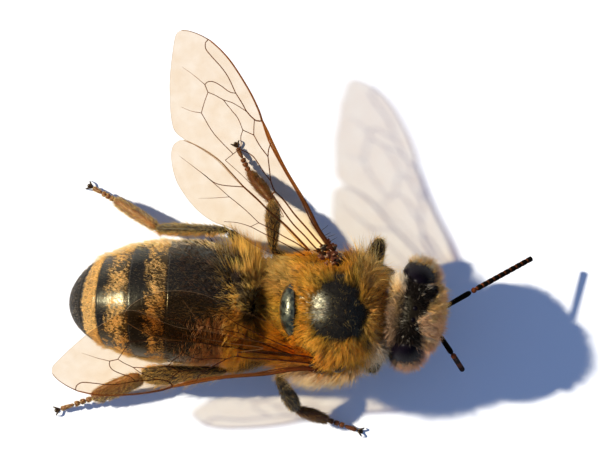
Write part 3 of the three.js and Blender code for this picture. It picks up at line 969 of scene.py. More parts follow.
A, B, C, D, E = (7.15, -0.38), (6.30, 0.32), (6.87, -0.44), (6.42, -1.03), (6.36, -0.16)
F, G, H, I, J = (5.57, 0.27), (5.13, -0.20), (5.20, 0.33), (5.01, 0.52), (4.78, 0.01)
K, L, M, N, O = (3.90, -0.01), (4.22, 0.33), (3.16, -0.41), (4.65, -0.94), (4.66, -0.66)
P, Q, R = (4.63, -1.28), (2.78, -0.50), (2.77, -0.63)
S, T, U, V, W = (3.51, -1.28), (2.22, -1.56), (2.27, -1.87), (4.67, -2.17), (3.52, -1.88)
DARK_VEIN = (np.array([0.05, 0.014, 0.005]), np.array([0.24, 0.08, 0.016]))
BROWN_VEIN = (np.array([0.04, 0.013, 0.004]), np.array([0.045, 0.017, 0.005]))
PALE_VEIN = (np.array([0.08, 0.032, 0.01]), np.array([0.3, 0.17, 0.07]))
# Points, radius at both ends, colours.
FORE_VEINS = [
    (
        [(0.0, 0.0), (0.82, -0.01), (1.83, 0.13), (3.16, 0.22), (4.2, 0.38), (4.6, 0.46), I],
        0.066, 0.04, DARK_VEIN,
    ),
    ([I, (5.42, 0.64), (6.13, 0.75), (7.12, 0.8), (7.75, 0.75), (8.27, 0.63)], 0.038, 0.022, DARK_VEIN),
    ([(8.27, 0.63), (8.6, 0.47), (8.92, 0.25), (9.12, 0.02)], 0.022, 0.01, PALE_VEIN),
    ([(0.3, -0.1), (1.2, -0.06), (2.2, 0.1), (3.2, 0.18), (4.22, 0.3), I], 0.03, 0.035, DARK_VEIN),
    (
        [(8.34, 0.58), (8.29, 0.44), (8.1, 0.34), (7.72, 0.37), (7.32, 0.42), (6.89, 0.42), B],
        0.02, 0.02, BROWN_VEIN,
    ),
    ([B, (5.87, 0.3), F, H, (5.08, 0.42), I], 0.02, 0.03, BROWN_VEIN),
    ([A, (7.16, -0.23), (7.04, -0.07), (6.77, 0.06), (6.46, 0.17), B], 0.018, 0.018, BROWN_VEIN),
    ([A, C], 0.018, 0.018, BROWN_VEIN),
    ([C, (6.65, -0.3), E], 0.016, 0.016, BROWN_VEIN),
    ([E, (6.06, 0.06), F], 0.016, 0.016, BROWN_VEIN),
    ([E, (5.89, -0.13), (5.55, -0.11), G], 0.016, 0.016, BROWN_VEIN),
    ([H, (5.0, 0.17), J], 0.018, 0.018, BROWN_VEIN),
    ([G, J], 0.018, 0.018, BROWN_VEIN),
    ([J, (4.35, -0.03), K], 0.02, 0.022, BROWN_VEIN),
    ([L, (4.08, 0.14), K], 0.02, 0.022, BROWN_VEIN),
    ([K, M], 0.022, 0.024, BROWN_VEIN),
    ([G, (4.98, -0.39), (4.77, -0.52), O], 0.016, 0.016, BROWN_VEIN),
    ([O, N], 0.016, 0.016, BROWN_VEIN),
    ([O, (4.21, -0.43), (3.57, -0.43), M], 0.018, 0.024, BROWN_VEIN),
    ([C, (6.65, -0.75), D], 0.016, 0.016, BROWN_VEIN),
    ([D, (5.6, -1.08), N], 0.016, 0.016, BROWN_VEIN),
    ([N, P], 0.016, 0.013, BROWN_VEIN),
    ([M, (2.95, -0.47), Q], 0.026, 0.03, BROWN_VEIN),
    ([Q, R], 0.034, 0.03, DARK_VEIN),
    ([Q, (2.37, -0.42), (1.74, -0.39), (1.14, -0.32), (0.42, -0.24), (0.1, -0.12)], 0.028, 0.04, BROWN_VEIN),
    ([R, (1.62, -0.63), (0.97, -0.53), (0.29, -0.43), (0.05, -0.25)], 0.028, 0.035, BROWN_VEIN),
    ([P, (3.86, -1.1), (2.9, -0.92), (1.9, -0.76), R], 0.012, 0.012, PALE_VEIN),
    ([A, (7.6, -0.5), (8.09, -0.67)], 0.014, 0.005, PALE_VEIN),
    ([D, (6.66, -1.27), (6.99, -1.49)], 0.014, 0.005, PALE_VEIN),
]
HIND_VEINS = [
    ([(0.45, -0.68), (0.99, -0.76), (1.67, -0.87), (2.27, -1.03), (2.9, -1.14), S], 0.04, 0.028, BROWN_VEIN),
    ([S, (4.27, -1.38), (4.76, -1.46), (5.48, -1.74), (6.0, -2.06)], 0.028, 0.012, PALE_VEIN),
    ([S, (4.1, -1.95), V], 0.02, 0.015, BROWN_VEIN),
    ([V, (5.2, -2.34), (5.65, -2.49)], 0.014, 0.005, PALE_VEIN),
    ([V, (4.1, -2.02), W], 0.014, 0.014, BROWN_VEIN),
    ([W, (3.8, -2.35), (4.08, -2.77)], 0.013, 0.005, PALE_VEIN),
    ([W, (2.9, -1.7), T], 0.016, 0.016, BROWN_VEIN),
    ([T, (1.82, -1.34), (1.36, -1.13), (0.9, -0.9), (0.5, -0.74)], 0.018, 0.028, BROWN_VEIN),
    ([T, U], 0.013, 0.013, BROWN_VEIN),
    ([(2.93, -2.51), (2.64, -2.16), U, (1.86, -1.65), (1.16, -1.27), (0.4, -0.9)], 0.01, 0.024, BROWN_VEIN),
]


def make_wings():
    for side in WINGS:
        for kind, outline, veins in (("fore", FOREWING, FORE_VEINS), ("hind", HINDWING, HIND_VEINS)):
            hind = kind == "hind"
            sheet = membrane(side, outline, hind)
            piece(f"{kind}wing_membrane_{side}", sheet, WING, [f"{kind}wing_{side}"])
            tubes = [vein(side, hind, *row[:3], row[3]) for row in veins]
            # a thin tube along the trailing edge, amber at the root and pale towards the tip, paints the
            # highlight on the film's rim
            edge = [[u, trail + 0.012] for u, trail, _ in outline]
            tubes.append(vein(side, hind, edge, 0.004, 0.005, (AMBER * 0.4, CREAM * 0.7)))
            piece(f"{kind}wing_veins_{side}", joined(tubes), VEIN)
        make_wing_root(side)


# how many lumps, and where they lie along and across the wing
ROOT_LUMPS = {"left": (60, (-0.42, 0.34), (-0.5, 0.1)), "right": (16, (-0.1, 0.3), (-0.3, 0.08))}


def make_wing_root(side):
    """The knuckle of small reddish plates where the veins meet the thorax."""
    rng = np.random.default_rng(5)
    count, (near, far), (trail, lead) = ROOT_LUMPS[side]
    lumps = []
    for _ in range(count):
        u, v = rng.uniform(near, far), rng.uniform(trail, lead)
        centre = on_wing(side, np.array(u), np.array(v), rng.uniform(-0.14, 0.03), False)
        size = rng.uniform(0.035, 0.095, 3) * [1.5, 1.0, 0.6]
        points, faces, _ = closed(ellipsoid(centre, size, rng.uniform(-0.8, 0.8)), 16, 20)
        points = points + 0.35 * (points - centre) * mottle(points, 0.06, 6)[:, None]
        shade = blend(RED_BROWN * 0.75, BROWN * 0.6, smooth(0.4, 0.75, rng.random()))
        lumps.append((points, faces, shade))
    piece(f"wing_root_{side}", joined(lumps), HORN)


# ---------------------------------------------------------------- legs


def limb_piece(start, end, girth, bow=0.0):
    """A piece of a leg between two points, with half widths and heights along it."""
    start, end = np.asarray(start, float), np.asarray(end, float)
    count = len(girth)
    rows = []
    for k, (width, height) in enumerate(girth):
        share = k / (count - 1)
        place = start + (end - start) * share + UP * bow * math.sin(math.pi * share)
        rows.append([*place, width, height])
    return rows


def make_leg(name, joints):
    pair = name.split("_")[0]
    girths = LEG_GIRTH[pair]
    hip, trochanter, knee, ankle, heel, tip = map(np.array, joints)
    bodies, skins = [], []

    def add(rows, colours, blunt=9, rings=22, sides=20, up=UP):
        place = sweep(rows, blunt, up)
        points, faces, share = closed(place, rings, sides)
        bodies.append((points, faces, blend(colours[0], colours[1], share)))
        skins.append(place)

    add(limb_piece(hip, trochanter, girths["coxa"]), (BLACK, BROWN))
    add(limb_piece(trochanter, knee, girths["femur"], 0.06), (BROWN, BLACK))
    rise = BLADE_RISE.get(name, UP)
    add(limb_piece(knee, ankle, girths["tibia"], 0.05), (BLACK, BROWN), up=rise)
    brown = AMBER * [0.8, 0.75, 0.7] if pair == "hind" else blend(BROWN, RED_BROWN, 0.55)
    add(limb_piece(ankle, heel, girths["basitarsus"]), (brown, RED_BROWN), up=rise)
    foot = [heel, heel + (tip - heel) * [0.9, 0.9, 1.0]]
    cuts = [0.0, 0.17, 0.33, 0.48, 0.86]
    for near, far in zip(cuts, cuts[1:]):
        ends = [foot[0] + (foot[1] - foot[0]) * share for share in (near + 0.01, far - 0.005)]
        girth = [[0.072, 0.068], [0.09, 0.085], [0.098, 0.085]]
        if far > 0.8:
            girth = [[0.05, 0.05], [0.07, 0.07], [0.085, 0.08]]
        add(limb_piece(*ends, girth), (RED_BROWN, RED_BROWN), 7, 12, 14)
    nodes = [f"leg_{name}_{part}" for part in ("coxa", "femur", "tibia", "basitarsus", "tarsus")]
    piece(f"leg_shell_{name}", joined(bodies), LIMB_SHELL, nodes)
    make_claws(name, foot, tip)
    return skins


def make_claws(name, foot, tip):
    along = unit((tip - foot[0]) * [1, 1, 0])
    aside = np.cross(UP, along)
    root = foot[1] - (foot[1] - foot[0]) * 0.12
    bodies = []
    for hand in (1, -1):
        bend = root + along * 0.16 + aside * hand * 0.12 + UP * 0.03
        point = root + along * 0.2 + aside * hand * 0.17
        point[2] = 0.015
        rows = [[*root, 0.035, 0.035], [*bend, 0.028, 0.028], [*point, 0.006, 0.006]]
        bodies.append((*closed(sweep(rows, 12), 14, 10)[:2], BROWN))
    pad = root + along * 0.13
    pad[2] = 0.05
    bodies.append((*closed(ellipsoid(pad, [0.075, 0.075, 0.045]), 12, 16)[:2], BROWN))
    piece(f"claws_{name}", joined(bodies), HORN)


# ---------------------------------------------------------------- coat


def tones_of(colour, rng, root=0.5, tip=1.2, spread=0.22):
    """Colours of hairs at the root and at the tip. A root darker than the tip partly paints the shade deep in
    the coat.
    """
    count = len(colour)
    base = varied(colour, count, rng, spread)
    return tuple(tone / np.maximum(tone.max(1, keepdims=True), 1) for tone in (base * root, base * tip))


def out_of_eyes(points, reach=1.08):
    """0 inside an eye and 1 beyond reach times its size, for points drawn about the head."""
    clear = np.ones(len(points))
    for hand in (1, -1):
        c, d = math.cos(-hand * EYE_LEAN), math.sin(-hand * EYE_LEAN)
        x, y, z = (points - EYE_PLACE * [1, hand, 1]).T
        y, z = c * y - d * z, d * y + c * z
        away = np.linalg.norm(np.stack([x, y, z], -1) / EYE_SIZE, axis=1)
        clear = clear * smooth(1.0, reach, away)
    return clear


def head_frame(points):
    """Points as seen about the upright line through the head."""
    return turned(points - HEAD_CENTRE, -HEAD_YAW)


# where the black top of the head ends in front, across the head from its right to its left
CROWN_ACROSS = [-1.2, -0.6, -0.2, 0.3, 0.77, 1.2]
CROWN_FRONT = [0.5, 0.34, 0.14, 0.42, 0.6, 0.62]


def crown(points):
    """How far points are on the black top of the head."""
    x, y, z = points.T
    front = np.interp(y, CROWN_ACROSS, CROWN_FRONT)
    along = smooth(front + 0.08, front - 0.08, x) * smooth(-0.55, -0.35, x)
    return along * smooth(3.7, 4.1, z) * smooth(1.25, 1.0, np.abs(y))


def lower_face(points):
    """How far points are on the horny shield above the jaws."""
    x, y, z = points.T
    return smooth(0.3, 0.5, x) * smooth(0.75, 0.5, np.abs(y)) * smooth(2.5, 2.25, z)


def head_coat():
    rng = np.random.default_rng(11)
    skin = with_head(head_upright)

    def density(p, s, a):
        local = head_frame(p)
        bare = np.maximum(0.3 * crown(local), 0.8 * lower_face(local))
        return (1 - bare) * out_of_eyes(local) * smooth(0.95, 1.15, p[:, 2])

    batches = []
    for amount, rings in ((6800, 2), (28500, 1)):
        roots = scatter(skin, amount, density, rng)
        batches.append(head_hairs(roots, rings, rng))
    coat("head_coat", batches)


def head_hairs(roots, rings, rng):
    local = head_frame(roots["root"])
    x, y, z = local.T
    count = len(x)
    top = crown(local)
    face = smooth(0.0, 0.35, x)
    back = smooth(0.0, -0.4, x)
    colour = blend(FAWN, STRAW, smooth(0.2, -0.6, mottle(local, 0.35, 3)) * 0.7)
    colour = blend(colour, ROSE, smooth(-0.7, -1.2, y) * 0.8)
    colour = blend(colour, BROWN * 3, back * smooth(0.7, 0.4, y) * smooth(2.6, 3.4, z) * 0.8)
    colour = blend(colour, CREAM, back * smooth(0.55, 0.85, y))
    colour = blend(colour, CREAM, back * smooth(-1.15, -1.3, y))
    colour = blend(colour, CREAM, smooth(2.4, 1.5, z) * 0.6)
    colour = blend(colour, DARK_HAIR * 0.3, top)
    pale = rng.random(count) < 0.05 * top
    colour = np.where(pale[:, None], CREAM, colour)
    outward = np.sign(y) * smooth(0.3, 0.9, np.abs(y))
    outward = outward * smooth(2.9, 3.6, z)
    lie = np.stack([1.1 * face - 0.5 * back + 0.1, 0.6 * outward, 0.5 * face + 0.3 * back], -1)
    length = rng.uniform(0.3, 0.54, count) * (1 + 0.15 * face) * (1 - 0.5 * top)
    length = length * (1 + 0.5 * back * smooth(0.4, 0.9, y))
    length = length * (1 - 0.4 * smooth(2.2, 1.4, z)) * (1 - 0.5 * lower_face(local))
    length = length * (1 - 0.35 * face * smooth(3.4, 2.8, z))
    beside_eye = 1 - out_of_eyes(local, 1.5)
    length = length * (1 - 0.65 * beside_eye * smooth(3.7, 3.2, z))
    guard = rings > 1
    length = length * (1.15 if guard else 0.7)
    width = rng.uniform(0.009, 0.014, count) * (1.35 if guard else 1.0)
    tones = tones_of(colour, rng, 0.8, 2.0 if guard else 1.4, 0.42 if guard else 0.3)
    stand = 1.05 - 0.35 * smooth(3.6, 3.0, z)
    lie = turned(lie, HEAD_YAW)
    clump = 0.45 if guard else 0.2
    return hairs(
        roots, lie, stand, length, width, tones, rng, rings, curl=0.4, jitter=0.16, tuft=0.2, clump=clump
    )


def eye_coat():
    """Sparse fine hairs that stand on the eyes, so that only their rims look hairy."""
    rng = np.random.default_rng(15)
    batches = []
    for hand in (1, -1):
        centre = EYE_PLACE * [1, hand, 1]
        eye = with_head(ellipsoid(centre, EYE_SIZE, hand * EYE_LEAN))

        def rim_of(p):
            local = head_frame(p)
            ahead, aside = (local - centre)[:, :2].T / EYE_SIZE[:2, None] * [[1], [hand]]
            around = smooth(0.5, 0.9, np.hypot(np.maximum(ahead, 0), np.maximum(aside, 0)))
            return around * smooth(2.75, 3.1, local[:, 2]), ahead

        def density(p, s, a):
            inner = smooth(-0.3, 0.1, (head_frame(p)[:, 1] - centre[1]) * hand)
            return (0.12 + 0.88 * rim_of(p)[0]) * (0.2 + 0.8 * inner)

        roots = scatter(eye, 2000, density, rng)
        p = roots["root"]
        rim, forward = rim_of(p)
        pale = blend(GOLD, CREAM, rng.random(len(p))) if hand > 0 else blend(FAWN, ROSE, rng.random(len(p)))
        pale = blend(pale, ROSE, smooth(0.5, 0.9, forward) * 0.7)
        colour = blend(DARK_HAIR * 0.4, pale, rim)
        length = rng.uniform(0.07, 0.15, len(p)) * (1 + 1.5 * rim)
        lie = np.broadcast_to(turned(np.array([0.4, 0.0, -1.0]), HEAD_YAW), p.shape)
        width = 0.008 + 0.002 * rim
        tones = tones_of(colour, rng, 0.6, 1.4)
        tufts = {"curl": 0.3, "jitter": 0.2, "tuft": 0.2, "clump": 0.2}
        batches.append(hairs(roots, lie, 1.2, length, width, tones, rng, 1, **tufts))
    coat("eye_coat", batches)


def disc(points):
    """Distance from the middle of the bare disc of the back, whose rim is ragged, at 1."""
    away = (points[:, :2] - DISC_CENTRE) / DISC_SIZE
    return np.linalg.norm(away, axis=1) + 0.1 * mottle(points, 0.4, 8)


def collar(points):
    """How far points are on the sides of the thorax next to the neck."""
    x, y = points[:, :2].T
    return smooth(0.55, 0.9, x) * smooth(0.75, 1.0, np.abs(y))


def from_scutellum(points):
    """Distance from the middle of the crescent plate behind the back, whose rim is at 1."""
    away = (points - SCUTELLUM_PLACE)[:, :2] / SCUTELLUM_SIZE[:2]
    away[:, 0] = np.where(away[:, 0] > 0, away[:, 0] / SCUTELLUM_FRONT, away[:, 0])
    return np.linalg.norm(away, axis=1)


def thorax_colour(p, rng):
    x, y, z = p.T
    colour = blend(GOLD, GOLD * [0.85, 0.74, 0.6], smooth(-0.3, 0.6, mottle(p, 0.5, 9)))
    wing_roots = smooth(1.0, 1.5, np.abs(y)) * smooth(0.6, 0.2, x) * smooth(-1.2, -0.7, x)
    colour = blend(colour, ORANGE, wing_roots * smooth(3.0, 3.5, z) * smooth(-1.0, 0.0, y))
    groove = smooth(-1.15, -1.3, x) * smooth(-1.85, -1.7, x) * smooth(1.1, 0.8, np.abs(y))
    colour = blend(colour, ORANGE, groove * 0.8)
    suture = np.exp(-(((x + 1.54 - 0.25 * y**2) / 0.045) ** 2)) * smooth(1.0, 0.8, np.abs(y))
    colour = blend(colour, DARK_HAIR, suture)
    colour = blend(colour, STRAW, smooth(-1.3, -1.9, x) * smooth(0.4, 1.2, y) * 0.6)
    colour = blend(colour, CREAM, smooth(-1.3, -1.8, y) * smooth(3.7, 3.3, z) * smooth(-1.9, -1.5, x) * 0.8)
    colour = blend(colour, STRAW, smooth(3.4, 2.6, z) * 0.8)
    colour = blend(colour, CREAM, smooth(2.7, 1.9, z) * 0.6)
    front = smooth(0.5, 0.95, x) * smooth(1.1, 0.7, np.abs(y))
    colour = blend(colour, blend(TAN, GOLD, rng.random(len(p))), front * 0.8)
    tufts = np.maximum(smooth(-0.6, 0.4, mottle(p, 0.3, 5)), smooth(0.0, -0.5, y))
    colour = blend(colour, CREAM, collar(p) * tufts)
    # painted light: paler hair on the front left shoulder, whose hairs lean away from the light into shade
    shoulder = smooth(0.2, 0.6, x) * smooth(0.7, 1.2, y) * smooth(2.8, 3.3, z)
    colour = blend(colour, STRAW, shoulder * 0.7)
    dark = rng.random(len(p)) < 0.1 + 0.12 * front
    return np.where(dark[:, None], DARK_HAIR * 1.2, colour)


def thorax_coat():
    rng = np.random.default_rng(12)

    def density(p, s, a):
        x, z = p[:, 0], p[:, 2]
        bare = smooth(1.06, 0.84, disc(p)) * smooth(3.6, 4.0, z)
        clear = smooth(0.6, 0.85, from_scutellum(p) + smooth(3.6, 3.2, z))
        under = 0.55 + 0.45 * smooth(1.6, 2.2, z)
        return (1 - 0.45 * bare) * clear * under * smooth(-3.3, -3.0, x)

    for part in range(3):
        batches = []
        for amount, rings in ((8300, 2), (24500, 1)):
            roots = scatter(thorax, amount, density, rng)
            batches.append(thorax_hairs(roots, rings, rng))
        if part == 0:
            # the painted highlight of pale bristles on the disc
            batches.append(glint_bristles(rng))
        if part == 1:
            batches.append(wing_bristles(rng))
        coat(f"thorax_coat_{part + 1}", batches)


def thorax_hairs(roots, rings, rng):
    p = roots["root"]
    x, y, z = p.T
    count = len(x)
    inner = smooth(1.06, 0.8, disc(p)) * smooth(3.6, 4.0, z)
    colour = thorax_colour(p, rng)
    fleck = np.where(rng.random(count) < 0.1, 1.0, 0.0)
    colour = blend(colour, blend(DARK_HAIR * 0.35, STRAW * 0.6, fleck), inner)
    away = np.stack([x - DISC_CENTRE[0], y - DISC_CENTRE[1], (z - 3.4) * 0.3], -1)
    lie = unit(away) + np.array([-0.1, 0, 0.1])
    length = rng.uniform(0.36, 0.72, count) * (1 - 0.8 * inner)
    side = collar(p)
    length = length * (1 - 0.3 * smooth(0.7, 1.2, x) + 0.7 * side)
    lie = lie + side[:, None] * np.stack([np.full(count, 0.8), 0.3 * np.sign(y), np.zeros(count)], -1)
    length = length * (1 + 0.85 * smooth(-1.3, -1.7, y) * smooth(0.7, 0.3, x) * smooth(3.9, 3.4, z))
    behind_left = smooth(-1.7, -2.2, x) * smooth(0.7, 1.1, y) * smooth(2.4, 2.9, z)
    length = length * (1 + 0.6 * behind_left)
    lie = lie + behind_left[:, None] * np.array([-0.4, 0.5, 0])
    behind_right = smooth(-1.9, -2.3, x) * smooth(-0.3, -0.7, y) * smooth(2.3, 2.8, z)
    length = length * (1 + 0.8 * behind_right)
    lie = lie + behind_right[:, None] * np.array([-0.6, 0.0, 0.4])
    shoulder = smooth(0.1, 0.5, x) * smooth(1.0, 0.7, x) * smooth(1.1, 1.5, y) * smooth(2.8, 3.2, z)
    length = length * (1 + 1.1 * shoulder)
    lie = lie + shoulder[:, None] * np.array([0.4, 0.6, 0.0])
    # short where the plate and the right wing lie over it
    strip = smooth(-1.0, -1.2, x) * smooth(-1.9, -1.75, x) * smooth(1.15, 0.95, np.abs(y - 0.08))
    near_plate = np.maximum(smooth(1.6, 1.15, from_scutellum(p)), 0.6 * strip) * smooth(3.8, 4.0, z)
    under_wing = smooth(-0.9, -1.15, y) * smooth(-2.6, -2.2, x) * smooth(-0.75, -1.0, x) * smooth(3.3, 3.6, z)
    root_left = smooth(1.25, 1.5, y) * smooth(-1.2, -0.95, x) * smooth(0.1, -0.1, x) * smooth(3.2, 3.5, z)
    length = length * (1 - np.maximum(0.7 * near_plate, 0.72 * np.maximum(under_wing, root_left)))
    stand = 0.85 - 0.45 * under_wing + 0.4 * side * smooth(0.0, -0.5, y)
    guard = rings > 1
    length = length * (1.1 if guard else 0.7)
    width = rng.uniform(0.009, 0.014, count) * (1 - 0.3 * inner) * (1.35 if guard else 1.0)
    # painted light: the hair is lighter at root and tip on the right side and at the front, which lie in
    # shade
    shade_lightened = np.maximum(smooth(0.0, -1.2, y), smooth(0.4, 0.9, x))[:, None]
    at_root = 0.45 + 0.5 * shade_lightened
    at_tip = (1.8 if guard else 1.2) + 0.4 * shade_lightened
    tones = tones_of(colour, rng, at_root, at_tip, 0.42 if guard else 0.3)
    clump = 0.45 if guard else 0.2
    return hairs(
        roots, lie, stand, length, width, tones, rng, rings, curl=0.5, jitter=0.18, tuft=0.22, clump=clump
    )


# where pale bristles paint the highlight that the light makes on the bare disc, seen from above
GLINT_CENTRE = np.array([-0.93, 0.24])
GLINT_SIZE = np.array([0.4, 0.5])


def glint_bristles(rng):
    """Short pale bristles on the back of the bare disc, a painted highlight."""

    def density(p, s, a):
        away = np.linalg.norm((p[:, :2] - GLINT_CENTRE) / GLINT_SIZE, axis=1)
        return smooth(1.1, 0.3, away) * smooth(3.8, 4.0, p[:, 2])

    roots = scatter(thorax, 550, density, rng, 90)
    count = len(roots["root"])
    lie = np.array([-1.0, 0.1, 0.0]) + np.zeros((count, 3))
    tones = tones_of(blend(GLINT_GREEN, CREAM, rng.random(count)), rng, 0.8, 1.3)
    length, width = rng.uniform(0.14, 0.26, count), np.full(count, 0.011)
    return hairs(roots, lie, 0.3, length, width, tones, rng, 2, 0.4, 0.16)


def wing_bristles(rng):
    """The few stiff black bristles at the front of the left wing's root."""
    along = np.array([0.32, 0.5, 0.58, 0.78])
    root = on_wing("left", along, np.full(4, 0.02), 0.02, False)
    roots = {"root": root, "normal": np.tile(UP, (4, 1)), "a": along, "s": along}
    lie = np.tile([0.75, 0.55, 0.0], (4, 1))
    black = np.tile(BLACK, (4, 1))
    length, width = np.array([0.4, 0.48, 0.36, 0.42]), np.full(4, 0.026)
    return hairs(roots, lie, 0.3, length, width, (black, black), rng, 3, 0.3, 0.25, 0.0)


def waist_coat():
    """Long hair on the first ring, and over the front and the right half of the second."""
    rng = np.random.default_rng(13)
    batches = []
    for k, count, rings in ((0, 2400, 2), (0, 6000, 1), (1, 4600, 2), (1, 11500, 1)):
        place = abdomen_ring(k)

        def density(p, s, a):
            if k == 0:
                return smooth(0.15, 0.4, s)
            top = smooth(-0.1, 0.3, np.sin(2 * np.pi * a))
            right = smooth(0.35, -0.5, p[:, 1]) * smooth(0.72, 0.5, s)
            return np.clip(smooth(0.3, 0.1, s) + 0.5 * right * top + 0.07 * smooth(0.9, 0.7, s), 0, 1)

        roots = scatter(place, count, density, rng)
        x, y, z = roots["root"].T
        n = len(x)
        patch = mottle(roots["root"], 0.35, 4)
        colour = blend(STRAW * [1, 0.9, 0.6], STRAW, smooth(2.9, 2.0, z))
        top = smooth(2.9, 3.5, z)
        middle = smooth(0.8, 0.45, np.abs(y - 0.3))
        dark = np.maximum(middle * (0.9 if k == 0 else 0.6), k * smooth(-0.2, 0.6, y) * smooth(-4.3, -4.0, x))
        colour = blend(colour, DARK_HAIR * 0.8, dark * top * smooth(-0.7, -0.2, patch))
        colour = blend(colour, TAN * [0.6, 0.52, 0.5], smooth(-3.8, -4.3, x) * smooth(0.3, -0.3, y))
        colour = blend(colour, DARK_HAIR * 1.3, smooth(-3.9, -4.4, x) * smooth(-0.3, 0.3, y))
        # painted light: brighter gold on the right of the waist, which lies in shade
        colour = blend(colour, GOLD * 1.3, 0.8 * smooth(-0.4, -0.8, y) * smooth(-4.3, -3.9, x))
        length = rng.uniform(0.36, 0.62, n) * (1 - 0.45 * smooth(-4.0, -5.0, x))
        side = smooth(0.6, 1.0, np.abs(y - 0.15)) * smooth(-4.6, -4.0, x) * smooth(1.6, 2.3, z)
        guard = rings > 1
        length = length * (1 + 0.3 * side) * (1.1 if guard else 0.75)
        length = length * (1 + 0.35 * side * smooth(0.5, 1.2, y)) * (1.35 if k == 0 else 1.0)
        width = rng.uniform(0.009, 0.014, n) * (1.3 if guard else 1.0)
        lie = 0.6 * roots["along"] + np.array([-0.7, 0, 0])
        right = smooth(0.2, -0.4, y) * smooth(-3.9, -4.3, x) * k
        lie = lie + right[:, None] * np.array([0.9, -1.0, 0.0])
        length = length * (1 - 0.3 * right)
        stand = 0.72 + 0.25 * side + 0.15 * right
        tones = tones_of(colour, rng, 0.7, 2.0 if guard else 1.4, 0.4)
        tufts = {"curl": 0.4, "jitter": 0.16, "tuft": 0.2, "clump": 0.4 if guard else 0.2}
        batches.append(hairs(roots, lie, stand, length, width, tones, rng, rings, **tufts))
    coat("waist_coat", batches)


# by ring: the number of hairs, and where the band begins and ends along the ring
FELT_BANDS = {2: (17500, 0.12, 0.6), 3: (17500, 0.12, 0.76), 4: (11000, 0.1, 0.9)}


def felt_band(k, points, share):
    """How far points of ring k, share of the way back along it, are in its band of felt."""
    _, first, last = FELT_BANDS[k]
    ragged = 0.06 * mottle(points, 0.08, 40 + k) + 0.05 * mottle(points, 0.3, 45 + k)
    return smooth(last + ragged, last - 0.16 + ragged, share) * smooth(first - 0.04, first + 0.04, share)


def felt_coat():
    """The felt of short flat golden hairs on the front of rings three to five."""
    rng = np.random.default_rng(16)
    batches = []
    for k, (count, _, _) in FELT_BANDS.items():
        place = abdomen_ring(k)

        def density(p, s, a):
            band = felt_band(k, p, s)
            height = np.sin(2 * np.pi * a)
            side = smooth(0.5, 0.1, height)
            if k == 4:
                return band * (0.6 + 0.4 * smooth(-0.5, 0.3, mottle(p, 0.03, 24)))
            speckle = smooth(-0.25, 0.45, mottle(p, 0.035, 20 + k) + 0.7 * mottle(p, 0.25, 30 + k))
            middle = smooth(0.27, 0.0, np.abs(s - 0.4))
            worn = 1 - 0.55 * (k == 2) * smooth(0.4, 1.1, p[:, 1]) * smooth(0.1, 0.4, height)
            worn = worn * (1 - 0.2 * (k == 3) * smooth(0.3, 1.0, p[:, 1]))
            return band * worn * np.clip(speckle * (0.3 + 0.7 * middle) + side * 0.5, 0, 1)

        roots = scatter(place, count, density, rng)
        n = len(roots["root"])
        colour = blend(FELT_GOLD, FELT_PALE, rng.random(n) ** 2 * 0.5)
        colour = blend(colour, OLIVE, 0.75 * (rng.random(n) < 0.25))
        length = rng.uniform(0.06, 0.12, n)
        width = np.full(n, 0.0105)
        tones = tones_of(colour, rng, 0.85, 1.25)
        batches.append(hairs(roots, roots["along"], 0.35, length, width, tones, rng, 1, 0.5, 0.3))
    coat("abdomen_felt", batches, FELT)


def fringe_coat():
    """Pale hairs along both sides and the underside of the rings."""
    rng = np.random.default_rng(17)
    batches = []
    for k, count in ((1, 7000), (2, 6400), (3, 5800), (4, 3000), (5, 6000)):
        place = abdomen_ring(k)

        def density(p, s, a):
            height = np.sin(2 * np.pi * a)
            band = 0.3 + 0.7 * smooth(0.8, 0.5, s)
            side = smooth(0.4, 0.16, height) * smooth(-0.8, -0.3, height) * band
            under = 0.3 * smooth(-0.2, -0.6, height)
            return side + under + (0.6 if k == 5 else 0.06) * smooth(0.1, 0.3, s)

        roots = scatter(place, count, density, rng)
        n = len(roots["root"])
        rise = np.sin(2 * np.pi * roots["a"])
        colour = blend(STRAW, CREAM, rng.random(n))
        colour = blend(colour, DARK_HAIR * 1.5, smooth(0.3, 0.55, rise) * 0.85)
        if k == 5:
            colour = blend(TAN * 0.26, CREAM * 0.6, rng.random(n) ** 2)
        length = rng.uniform(0.16, 0.32, n) * (0.55 if k == 5 else 1)
        length = length * (1 - 0.5 * smooth(0.3, 0.6, rise))
        width = np.full(n, 0.01)
        tones = tones_of(colour, rng, 0.85, 1.3)
        tufts = {"curl": 0.4, "jitter": 0.2, "tuft": 0.2, "clump": 0.15}
        batches.append(hairs(roots, roots["along"], 0.6, length, width, tones, rng, 1, **tufts))
    batches.append(ring_fuzz(rng))
    coat("abdomen_fringe", batches)


def ring_fuzz(rng):
    """Sparse dark hairs all over the top of the second ring."""
    roots = scatter(abdomen_ring(1), 6000, lambda p, s, a: smooth(0.1, 0.4, np.sin(2 * np.pi * a)), rng)
    count = len(roots["root"])
    colour = blend(DARK_HAIR, OLIVE, rng.random(count))
    colour = blend(colour, RED_BROWN, smooth(0.1, 0.7, mottle(roots["root"], 0.3, 22)) * 0.6)
    tones = tones_of(colour, rng, 0.6, 1.3)
    length, width = rng.uniform(0.08, 0.16, count), np.full(count, 0.009)
    return hairs(roots, roots["along"], 0.5, length, width, tones, rng, 1)


